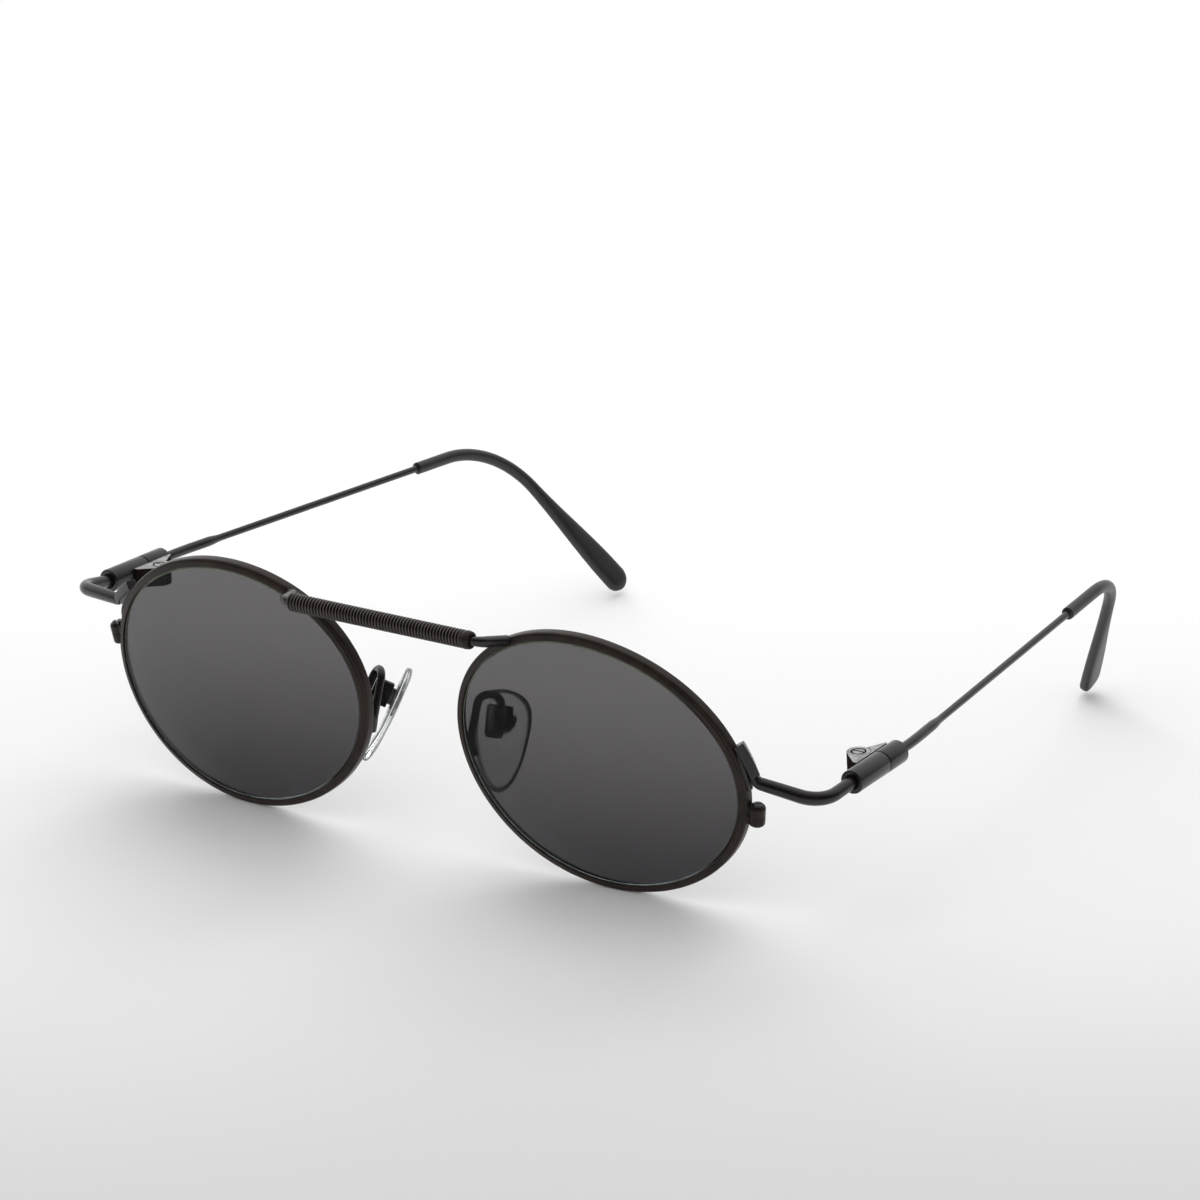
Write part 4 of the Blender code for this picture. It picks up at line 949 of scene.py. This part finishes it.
hinge_nickel = bright_nickel("bright_nickel", 0.14)
# a dull black painted on the sides of the hinges as shade
side_shade_black = satin_black("painted_shade_hinge_side", (0.0180, 0.0125, 0.0100), 0.70, shine=0.0)
for side, word in SIDES:
    place = sleeve_place(side) @ Matrix.Translation((-side * HINGE_OFFSET, 0.0, 0.0))
    for end, body, mesh in (
        ("front", "front", front_leaf(side)),
        ("rear", f"temple_{word}", rear_leaf(side)),
    ):
        mesh = settled(mesh, place)
        name = f"{word}_{end}_leaf"
        piece = add_piece(name, mesh, body, hinge_nickel, "hinge_nickel", f"{end}_leaf_{word}")
        paint_side_shade(piece, place, side_shade_black)
        soft_edges(piece, LEAF_EDGE)
    tail = place @ Matrix.Translation((0.0, 0.0, HINGE_LOW + HINGE_SCREW_INSET))
    length = HINGE_HEIGHT - HINGE_SCREW_INSET + HINGE_SCREW_PROUD
    mesh = screw_mesh(tail, length, HINGE_SCREW_RADIUS, HINGE_HEAD_RADIUS, HINGE_HEAD_HEIGHT)
    name = f"{word}_hinge_screw"
    piece = add_piece(name, mesh, "front", hinge_nickel, "hinge_nickel", f"hinge_screw_{word}")
    paint_side_shade(piece, place, side_shade_black)


# Temple wires
# A drawn wire runs from each rear sleeve, thick at first and then thin, into the ear tip.
# Behind the sleeve it is bent a little towards the head.
TEMPLE_SET = math.radians(5.4)   # the bend towards the head
TEMPLE_SET_START = 4.0 * MM      # behind the sleeve
TEMPLE_SET_RADIUS = 60.0 * MM
TEMPLE_THICK_RADIUS = 0.78 * MM
TEMPLE_THIN_RADIUS = 0.56 * MM
TEMPLE_THICK_LENGTH = 10.5 * MM  # behind the sleeve
TEMPLE_TAPER_LENGTH = 3.0 * MM
TIP_LEAD = 18.3 * MM             # from the tip's mouth to the corner of its bend
TIP_SOCKET = 8.5 * MM            # how far the wire goes into the tip


def smooth(share):
    """A smooth step from 0 to 1: s²(3 - 2s)."""
    share = np.clip(share, 0.0, 1.0)
    return share * share * (3 - 2 * share)


def temple_place(side):
    """Frame at the corner of the temple's set: Y runs along the temple as far as the ear bend."""
    corner = Matrix.Translation((0.0, REAR_SLEEVE_LENGTH + TEMPLE_SET_START, 0.0))
    return sleeve_place(side) @ corner @ Matrix.Rotation(side * TEMPLE_SET, 4, "Z")


for side, word in SIDES:
    start = placed(sleeve_place(side), (0, WIRE_STOP, 0))
    reach = TEMPLE_REACH - TIP_LEAD + TIP_SOCKET
    corner, end = placed(temple_place(side), [(0, 0, 0), (0, reach, 0)])
    bend = rounded_path([start, corner, end], [TEMPLE_SET_RADIUS], steps=8)
    tail = bend[-2] + (end - bend[-2]) * np.linspace(0.0, 1.0, 90)[1:, None]
    path = np.concatenate([bend[:-1], tail])
    thick_end = REAR_SLEEVE_LENGTH - WIRE_STOP + TEMPLE_THICK_LENGTH
    taper = smooth((lengths_along(path) - thick_end) / TEMPLE_TAPER_LENGTH)
    radii = TEMPLE_THICK_RADIUS + (TEMPLE_THIN_RADIUS - TEMPLE_THICK_RADIUS) * taper
    mesh = wire_mesh(path, radii, steps=28)
    add_piece(f"{word}_temple_wire", mesh, f"temple_{word}", wire_black, "wire_black", f"temple_wire_{word}")


# Ear tips
# Moulded black tips, pushed onto the wires: round at the mouth, bent down behind the ear, and
# widening to a flat end with round corners.
TIP_START_RADIUS = 1.00 * MM
TIP_MIDDLE_HALF_WIDTH = 1.00 * MM
TIP_END_HALF_WIDTH = 2.25 * MM
TIP_HALF_THICKNESS = 0.95 * MM
TIP_BEND_RADIUS = 16.5 * MM
TIP_BEND_SKEW = 2.5 * MM         # tighter on the left and wider on the right
TIP_DROP_ANGLE = math.radians(51.0)
TIP_DROP_SPLAY = math.radians(43.0)
TIP_END_RISE = 1.0 * MM          # the end of its middle line, above its lowest point
TIP_MOUTH_ROUND = 0.18 * MM
TIP_MOUTH_SHARE = 0.008          # how far the rounding runs, of the way to the bend
TIP_MIDDLE_SHARE = 0.50          # of the tip's length: it starts to widen here
TIP_WIDE_SHARE = 0.93            # and has its full width from here


def tip_rows(side, low):
    """Ovals along the tip, whose coordinates take the power 2 / n: n goes from 2 to 3.3, a rounded
    rectangle.  The half width goes from mouth to middle to end by smooth steps, and over the last
    stretch both half sizes follow a circle down to the round end."""
    place = temple_place(side)
    mouth, corner = placed(place, [(0, TEMPLE_REACH - TIP_LEAD, 0), (0, TEMPLE_REACH, 0)])
    level = math.cos(TIP_DROP_ANGLE)
    inward = -side * level * math.sin(TIP_DROP_SPLAY)
    fall = np.array([inward, level * math.cos(TIP_DROP_SPLAY), -math.sin(TIP_DROP_ANGLE)])
    drop = (corner[2] - low - TIP_END_RISE) / math.sin(TIP_DROP_ANGLE)
    end = corner + fall * drop
    bend = rounded_path([mouth, corner, end], [TIP_BEND_RADIUS - side * TIP_BEND_SKEW], steps=30)
    lead = mouth + (bend[1] - mouth) * np.linspace(0.0, 1.0, 14)[1:-1, None]
    nose = TIP_END_HALF_WIDTH
    straight = bend[-2] + (end - fall * nose - bend[-2]) * np.linspace(0.0, 1.0, 24)[1:, None]
    turns = np.linspace(0.0, math.pi / 2, 15)[1:]
    tail = end - fall * nose + fall * nose * np.sin(turns)[:, None]
    start = [mouth, mouth + (corner - mouth) * TIP_MOUTH_SHARE]
    path = np.concatenate([start, lead, bend[1:-1], straight, tail])
    along = lengths_along(path)
    share = along / along[-1]
    early = smooth(share / TIP_MIDDLE_SHARE)
    late = smooth((share - TIP_MIDDLE_SHARE) / (TIP_WIDE_SHARE - TIP_MIDDLE_SHARE))
    half_width = TIP_START_RADIUS + (TIP_MIDDLE_HALF_WIDTH - TIP_START_RADIUS) * early
    half_width = half_width + (TIP_END_HALF_WIDTH - TIP_MIDDLE_HALF_WIDTH) * late
    half_thick = TIP_START_RADIUS + (TIP_HALF_THICKNESS - TIP_START_RADIUS) * early
    left = np.clip((along[-1] - along) / nose, 0.0, 1.0)
    round_off = np.sqrt(np.clip(1.0 - (1.0 - left) ** 2, 0.0004, 1.0))
    half_width = half_width * round_off
    half_thick = half_thick * round_off**0.55
    half_width[0] -= TIP_MOUTH_ROUND
    half_thick[0] -= TIP_MOUTH_ROUND
    turn = around(48)
    power = 2.0 / (2.0 + 1.3 * late[:, None])
    wide = squared(np.cos(turn), power) * half_width[:, None]
    through = squared(np.sin(turn), power) * half_thick[:, None]
    bend_axis = unit(np.cross(corner - mouth, fall))
    return swept(path, np.stack([wide, through], axis=-1), bend_axis)


def tip_plastic():
    """Moulded black plastic with a soft sheen, faintly cloudy."""
    finish = Finish("black_tip_plastic", ior=1.49)
    clouds = finish.noise(4.0 * MM, detail=3.0)
    grain = finish.noise(0.10 * MM, detail=2.0)
    finish.set("Base Color", finish.blend(clouds, (0.011, 0.011, 0.012), (0.019, 0.0185, 0.019)))
    finish.set("Roughness", 0.30 + clouds * 0.12 + grain * 0.06)
    finish.bump(grain, depth=0.008 * MM, strength=0.3)
    return finish.material


tip_black = tip_plastic()
for side, word in SIDES:
    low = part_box(f"temple_tip_{word}")[0][2]
    mesh = grid_mesh(tip_rows(side, low))
    add_piece(f"{word}_tip", mesh, f"temple_{word}", tip_black, "tip_black", f"temple_tip_{word}", sharp=50.0)


# Nose pads
# Clear silicone pads over a stamped steel insert, whose tab goes into a small box.  A screw through
# the box holds it, and a bent wire carries the box from the back of the rim.
PAD_SPACING = 21.3 * MM          # between the middles of the pads
PAD_BACK = 10.4 * MM             # behind the middle of the lenses
PAD_DROP = 2.9 * MM              # and below it
PAD_LENGTH = 15.8 * MM
PAD_WIDTH = 9.5 * MM
PAD_THICKNESS = 1.5 * MM
PAD_DRAW = 0.28                  # of the width, lost over half the length downwards
PAD_WIDEST = 0.35                # the level, from -1 to 1, where nothing is lost
PAD_FULLNESS = 2.6               # the power n of the outline
PAD_SHOULDER = 1.1               # the upper end is this much squarer
PAD_CURL = 0.8 * MM
PAD_CURL_START = 0.2             # on the way from -1 at the lower end to 1 at the upper one
PAD_ROUNDNESS = 0.75             # the power of the section's coordinates
PAD_LEAN = math.radians(26.5)    # the upper end leans back by this
PAD_FLARE = math.radians(12.8)   # and towards the nose by this
PAD_SPLAY = math.radians(38.0)   # the face is turned back by this from straight across
PAD_BOX_RISE = 2.9 * MM          # the screw, above the middle of the pad
PAD_BOX_FORWARD = 1.2 * MM       # and in front of it
PAD_BOX_WALL = 0.60 * MM
PAD_BOX_HEIGHT = 3.8 * MM
PAD_TAB_WIDTH = 1.1 * MM
PAD_TAB_HEIGHT = 2.6 * MM
PAD_SCREW_RADIUS = 0.34 * MM
PAD_HEAD_RADIUS = 0.98 * MM
PAD_HEAD_HEIGHT = 1.00 * MM
INSERT_HALF_WIDTH = 1.5 * MM
INSERT_HALF_LENGTH = 2.6 * MM
INSERT_HALF_THICKNESS = 0.14 * MM
INSERT_CORNER = 0.7 * MM
INSERT_EDGE = 0.06 * MM
TAB_TAIL = 1.2 * MM              # how far the tab runs on behind the screw
ROCK_GAP = 0.45 * MM             # room for the pad to rock
SEAT_GAP = 0.30 * MM             # round what fits into the box


def pad_place(side):
    """The frame of a nose pad: X from front to back, Y towards the nose and Z up its length."""
    up = Vector((-side * math.tan(PAD_FLARE), math.tan(PAD_LEAN), 1.0)).normalized()
    to_nose = Vector((-side * math.cos(PAD_SPLAY), math.sin(PAD_SPLAY), 0.0))
    to_nose = (to_nose - up * to_nose.dot(up)).normalized()
    rearward = to_nose.cross(up)
    if rearward.y < 0:
        rearward = -rearward
    place = Matrix((rearward, to_nose, up)).transposed().to_4x4()
    place.translation = (side * PAD_SPACING / 2, FRONT_MIDDLE + PAD_BACK, EYE_HEIGHT - PAD_DROP)
    return place


screw_depth = PAD_THICKNESS / 2 + ROCK_GAP + PAD_SCREW_RADIUS + SEAT_GAP


def rock_place(side):
    """The axis that a pad rocks on: the X axis of this frame is the middle of its screw."""
    return pad_place(side) @ Matrix.Translation((-PAD_BOX_FORWARD, -screw_depth, PAD_BOX_RISE))


def pad_rows(side):
    """Sections up the pad.  The outline is half the width times (1 - |h|^n)^(1/2), drawn in towards
    the lower end, and each section is a rounded bar as thick as the pad, thinner at the ends.  The
    lower end curls away from the nose.  With the points goes how near each is to the outline, 0 to 1."""
    level = np.sin(np.linspace(-math.pi / 2, math.pi / 2, 61))
    fullness = PAD_FULLNESS + PAD_SHOULDER * np.clip(level, 0.0, 1.0)
    round_off = np.sqrt(np.clip(1.0 - np.abs(level) ** fullness, 0.0009, 1.0))
    half_width = 0.5 * PAD_WIDTH * round_off * (1.0 + PAD_DRAW * (level - PAD_WIDEST))
    half_thick = 0.5 * PAD_THICKNESS * np.minimum(1.0, 0.18 + round_off**0.7)
    turn = around(64)
    across = squared(np.cos(turn), PAD_ROUNDNESS) * half_width[:, None]
    through = squared(np.sin(turn), PAD_ROUNDNESS) * half_thick[:, None]
    curl = PAD_CURL * np.clip((PAD_CURL_START - level) / (PAD_CURL_START + 1.0), 0.0, 1.0) ** 2
    height = np.broadcast_to((level * PAD_LENGTH / 2)[:, None], across.shape)
    points = placed(pad_place(side), np.stack([across, through - curl[:, None], height], axis=-1))
    full = (np.abs(level) ** fullness)[:, None]
    return points, full + np.abs(np.cos(turn)) ** 1.5 * (1.0 - full)


def clear_silicone():
    """Soft clear silicone: a little milk in it, and a skin that isn't quite flat.  A dark line is painted
    inside its outline, as shade for the light that the rounding there bends away."""
    finish = Finish("clear_silicone", roughness=0.06, ior=1.41, transmission_weight=1.0)
    milk = finish.noise(2.5 * MM, detail=2.0)
    clear = finish.blend(milk, (0.84, 0.86, 0.86), (0.93, 0.94, 0.94))
    outline = finish.add("ShaderNodeAttribute", {"attribute_name": "outline"}, {}, output="Fac")
    turned = finish.add("ShaderNodeLayerWeight", {}, {"Blend": 0.5}, output="Facing")
    # painted shade: a dark band inside the outline, clear at the very edge where it faces the view
    bent = outline.ramp(0.70, 0.78) * (1.0 - outline.ramp(0.92, 0.97) * turned.ramp(0.35, 0.65, 1.0, 0.0))
    finish.set("Base Color", finish.blend(bent, clear, (0.08, 0.085, 0.085)))
    finish.bump(milk, depth=0.05 * MM, strength=0.3)
    return finish.material


pad_clear = clear_silicone()
insert_steel = bright_nickel("stamped_insert_steel", 0.28, dark=0.16, light=0.30)
for side, word in SIDES:
    rows, near_outline = pad_rows(side)
    mesh = grid_mesh(rows)
    layer = mesh.attributes.new("outline", "FLOAT", "POINT")
    layer.data.foreach_set("value", near_outline.astype(np.float32).ravel())
    add_piece(f"{word}_pad", mesh, f"pad_{word}", pad_clear, "pad_clear", f"nose_pad_{word}", sharp=60.0)
    outline = rectangle(-INSERT_HALF_WIDTH, INSERT_HALF_WIDTH, -INSERT_HALF_LENGTH, INSERT_HALF_LENGTH)
    outline = rounded_outline(outline, [INSERT_CORNER] * 4)
    flat = WORKSHOP @ Matrix.Translation((0.0, screw_depth, 0.0)) @ Matrix.Rotation(math.pi / 2, 4, "X")
    plate = prism_mesh(outline, -INSERT_HALF_THICKNESS, INSERT_HALF_THICKNESS, flat)
    outline = rectangle(-PAD_TAB_WIDTH / 2, PAD_TAB_WIDTH / 2, -TAB_TAIL, screw_depth)
    tab = prism_mesh(outline, -PAD_TAB_HEIGHT / 2, PAD_TAB_HEIGHT / 2, WORKSHOP)
    mesh = settled(combined(plate, tab, "UNION"), rock_place(side))
    piece = add_piece(f"{word}_pad_insert", mesh, f"pad_{word}", insert_steel, "hinge_nickel")
    soft_edges(piece, INSERT_EDGE)


# Pad boxes, their screws and their arms
# The box is a folded channel of blackened steel.  The arm is a thinner black wire that rises from
# the back of the rim, turns over in a loop and comes down the back of the box.
PAD_BOX_EDGE = 0.10 * MM
ARM_RADIUS = 0.62 * MM
ARM_SEAT_ANGLE = math.radians(203.0)
ARM_SEAT_SWEEP = math.radians(7.0)  # how far the foot runs along the rim
ARM_FORWARD = 0.80 * MM          # down the front half of the box
ARM_LOOP_RISE = 3.5 * MM         # above the screw
ARM_LOOP_RADIUS = 1.6 * MM
ARM_FOOT_RADIUS = 1.0 * MM
ARM_LEG_LEAN = 1.3 * MM          # how far back the leg leans
ARM_SEAT_GAP = 0.12 * MM         # the solder's thickness on the rim
ARM_BOX_GAP = 0.05 * MM          # and on the box
PAD_SCREW_TAIL = 0.1 * MM        # how far the screw stands out of the box at its tail and below its head

box_front = PAD_SCREW_RADIUS + SEAT_GAP
box_back = box_front + PAD_BOX_WALL + ROCK_GAP + PAD_BOX_WALL
box_room = PAD_TAB_WIDTH / 2 + SEAT_GAP
box_side = box_room + PAD_BOX_WALL
for side, word in SIDES:
    rock = rock_place(side)
    half = PAD_BOX_HEIGHT / 2
    mesh = prism_mesh(rectangle(-box_side, box_side, -box_back, box_front), -half, half, WORKSHOP)
    room = rectangle(-box_room, box_room, PAD_BOX_WALL - box_back, box_front + MM)
    mesh = cut_by(mesh, prism_mesh(room, -half - MM, half + MM, WORKSHOP))
    mesh = settled(mesh, rock)
    piece = add_piece(f"{word}_pad_box", mesh, "front", screw_black, "screw_black", f"pad_box_{word}")
    soft_edges(piece, PAD_BOX_EDGE)
    tail = axis_frame(rock @ Vector((-box_side - PAD_SCREW_TAIL, 0.0, 0.0)), rock.to_3x3().col[0])
    length = 2 * (box_side + PAD_SCREW_TAIL) + PAD_HEAD_HEIGHT
    mesh = screw_mesh(tail, length, PAD_SCREW_RADIUS, PAD_HEAD_RADIUS, PAD_HEAD_HEIGHT)
    add_piece(f"{word}_pad_screw", mesh, "front", screw_black, "screw_black", f"pad_screw_{word}")

    angles = np.linspace(ARM_SEAT_ANGLE, ARM_SEAT_ANGLE - ARM_SEAT_SWEEP, 3)
    seat = eye_points(side, angles, RIM_WALL / 2, RIM_DEPTH / 2 + ARM_SEAT_GAP + ARM_RADIUS)
    behind = -(box_back + ARM_BOX_GAP + ARM_RADIUS)
    heights = (-PAD_BOX_HEIGHT / 4, ARM_LOOP_RISE)
    foot, over = placed(rock, [(-ARM_FORWARD, behind, height) for height in heights])
    rise = np.array([seat[-1][0], seat[-1][1] + ARM_FOOT_RADIUS + ARM_LEG_LEAN, over[2]])
    bends = [ARM_FOOT_RADIUS, ARM_LOOP_RADIUS, ARM_LOOP_RADIUS]
    path = np.concatenate([seat[:1], rounded_path([seat[1], seat[2], rise, over, foot], bends)])
    mesh = wire_mesh(path, ARM_RADIUS, reference=(1.0, 0.0, 0.0))
    add_piece(f"{word}_arm", mesh, "front", wire_black, "wire_black", f"pad_arm_{word}")


# Floor
# A pale sheet, painted darker towards the camera as shade.  Near the glasses it takes the light and
# the shadows of the lamps, and further back it goes over to the white of the background.
VIEW_AZIMUTH = math.radians(35.686)  # from straight in front, towards the wearer's left
FLOOR_REACH = 6.0                # metres each way
FLOOR_NEAR_PAINTED_SHADE = (0.66, 0.66, 0.66)
FLOOR_FAR = (0.80, 0.80, 0.80)
FLOOR_TURN = (-0.20, -0.06)      # how far back, in metres, the painted shade near the camera goes over to the far tone
BACKDROP_TURN = (0.02, 0.30)     # and that to the white of the background
WHITE = (1.0, 1.0, 1.0)


def view_depth(nodes, vector):
    """How far back a point lies, level and along the azimuth of the view: y cos a - x sin a."""
    back = nodes.part(vector, "Y") * math.cos(VIEW_AZIMUTH)
    return back - nodes.part(vector, "X") * math.sin(VIEW_AZIMUTH)


def ray_kinds(nodes):
    """Whether a ray is one of the camera's, of a reflection or through glass, each as 0 or 1."""
    kinds = ("Is Camera Ray", "Is Glossy Ray", "Is Transmission Ray")
    return [nodes.add("ShaderNodeLightPath", {}, {}, output=kind) for kind in kinds]


floor_mesh = bpy.data.meshes.new("floor")
corners = [(x, y, 0.0) for x, y in rectangle(-FLOOR_REACH, FLOOR_REACH, -FLOOR_REACH, FLOOR_REACH)]
floor_mesh.from_pydata(corners, [], [(0, 1, 2, 3)])
floor = linked("floor", floor_mesh)
pale = Finish("pale_floor", roughness=0.9, specular_ior_level=0.0)
distance = view_depth(pale, pale.place())
# painted shade: the floor's colour is darker towards the camera
pale.set("Base Color", pale.blend(distance.ramp(*FLOOR_TURN), FLOOR_NEAR_PAINTED_SHADE, FLOOR_FAR))
camera_ray, glossy_ray, glass_ray = ray_kinds(pale)
seen = (camera_ray + glossy_ray + glass_ray).at_most(1.0)
white = pale.add("ShaderNodeEmission", {}, {"Color": WHITE, "Strength": 1.0})
shaded = Value(pale, pale.shader.outputs["BSDF"])
mixed = pale.add("ShaderNodeMixShader", {}, {0: distance.ramp(*BACKDROP_TURN) * seen, 1: shaded, 2: white})
pale.feed(pale.tree.nodes["Material Output"].inputs["Surface"], mixed)
floor_mesh.materials.append(pale.material)


# Light
# Three soft lamps: a strong one low behind the glasses, which throws long shadows to the front, a
# weak one high behind them and one in front.  Metal and glass don't mirror the lamps: they mirror a
# room that is white behind and above and dark in front.
ROOM_LEVEL = 0.66                # the even light of the room on everything


def bearing(azimuth, elevation):
    """Away from the glasses, turned by an azimuth from straight in front, and up by an elevation."""
    level = math.cos(elevation)
    return Vector((math.sin(azimuth) * level, -math.cos(azimuth) * level, math.sin(elevation)))


def soft_lamp(name, azimuth, elevation, distance, size, power):
    """A rectangle of light that faces the glasses."""
    lamp = bpy.data.lights.new(name, "AREA")
    lamp.shape = "RECTANGLE"
    lamp.size, lamp.size_y = size
    lamp.energy = power
    item = linked(name, lamp)
    away = bearing(math.radians(azimuth), math.radians(elevation))
    item.location = away * distance
    item.rotation_mode = "QUATERNION"
    item.rotation_quaternion = away.to_track_quat("Z", "Y")
    item.visible_glossy = False


soft_lamp("back_lamp", azimuth=215.0, elevation=30.0, distance=0.80, size=(0.90, 0.50), power=5.2)
soft_lamp("high_lamp", azimuth=215.0, elevation=70.0, distance=0.85, size=(0.60, 0.60), power=1.2)
soft_lamp("front_lamp", azimuth=20.0, elevation=45.0, distance=1.60, size=(1.20, 1.20), power=3.0)
world = bpy.data.worlds.new("studio")
bpy.context.scene.world = world
world.use_nodes = True
sky = Nodes(world.node_tree)
look = sky.add("ShaderNodeTexCoord", {}, {}, output="Generated")
room = (view_depth(sky, look) * 0.8 + sky.part(look, "Z") * 0.6).ramp(-0.15, 0.95, low=0.03, high=1.0)
camera_ray, glossy_ray, glass_ray = ray_kinds(sky)
plain = (camera_ray + glass_ray).at_most(1.0)
strength = plain + (1.0 - plain) * (glossy_ray * room + (1.0 - glossy_ray) * ROOM_LEVEL)
background = world.node_tree.nodes["Background"]
sky.feed(background.inputs["Color"], WHITE)
sky.feed(background.inputs["Strength"], strength)


# Camera
# It stands in front of the glasses, to their left, and looks down on them through a long lens.
# Its place, lens and roll follow from the shapes of the two equal ovals and the two temples.
VIEW_ELEVATION = math.radians(18.26)
VIEW_ROLL = math.radians(-0.888)
VIEW_DISTANCE = 995.2 * MM
VIEW_TARGET_X = 37.47 * MM
VIEW_TARGET_RISE = 27.45 * MM    # above the middle of the lenses
FOCAL_PIXELS = 6795.0            # the focal length
FRAME_PIXELS = 1200.0            # the width of the picture
SENSOR_WIDTH = 36.0

back = bearing(VIEW_AZIMUTH, VIEW_ELEVATION)
right = Vector((math.cos(VIEW_AZIMUTH), math.sin(VIEW_AZIMUTH), 0.0))
up = back.cross(right)
rolled_right = right * math.cos(VIEW_ROLL) + up * math.sin(VIEW_ROLL)
rolled_up = up * math.cos(VIEW_ROLL) - right * math.sin(VIEW_ROLL)
target = Vector((VIEW_TARGET_X, FRONT_MIDDLE - RIM_DEPTH / 2, EYE_HEIGHT + VIEW_TARGET_RISE))
camera_data = bpy.data.cameras.new("camera")
camera_data.sensor_width = SENSOR_WIDTH
camera_data.lens = FOCAL_PIXELS * SENSOR_WIDTH / FRAME_PIXELS
camera_data.clip_start = 0.05
camera_data.clip_end = 20.0
camera = linked("camera", camera_data)
turn = Matrix((rolled_right, rolled_up, back)).transposed().to_4x4()
camera.matrix_world = Matrix.Translation(target + back * VIEW_DISTANCE) @ turn
bpy.context.scene.camera = camera
bpy.context.scene.view_settings.view_transform = "Standard"
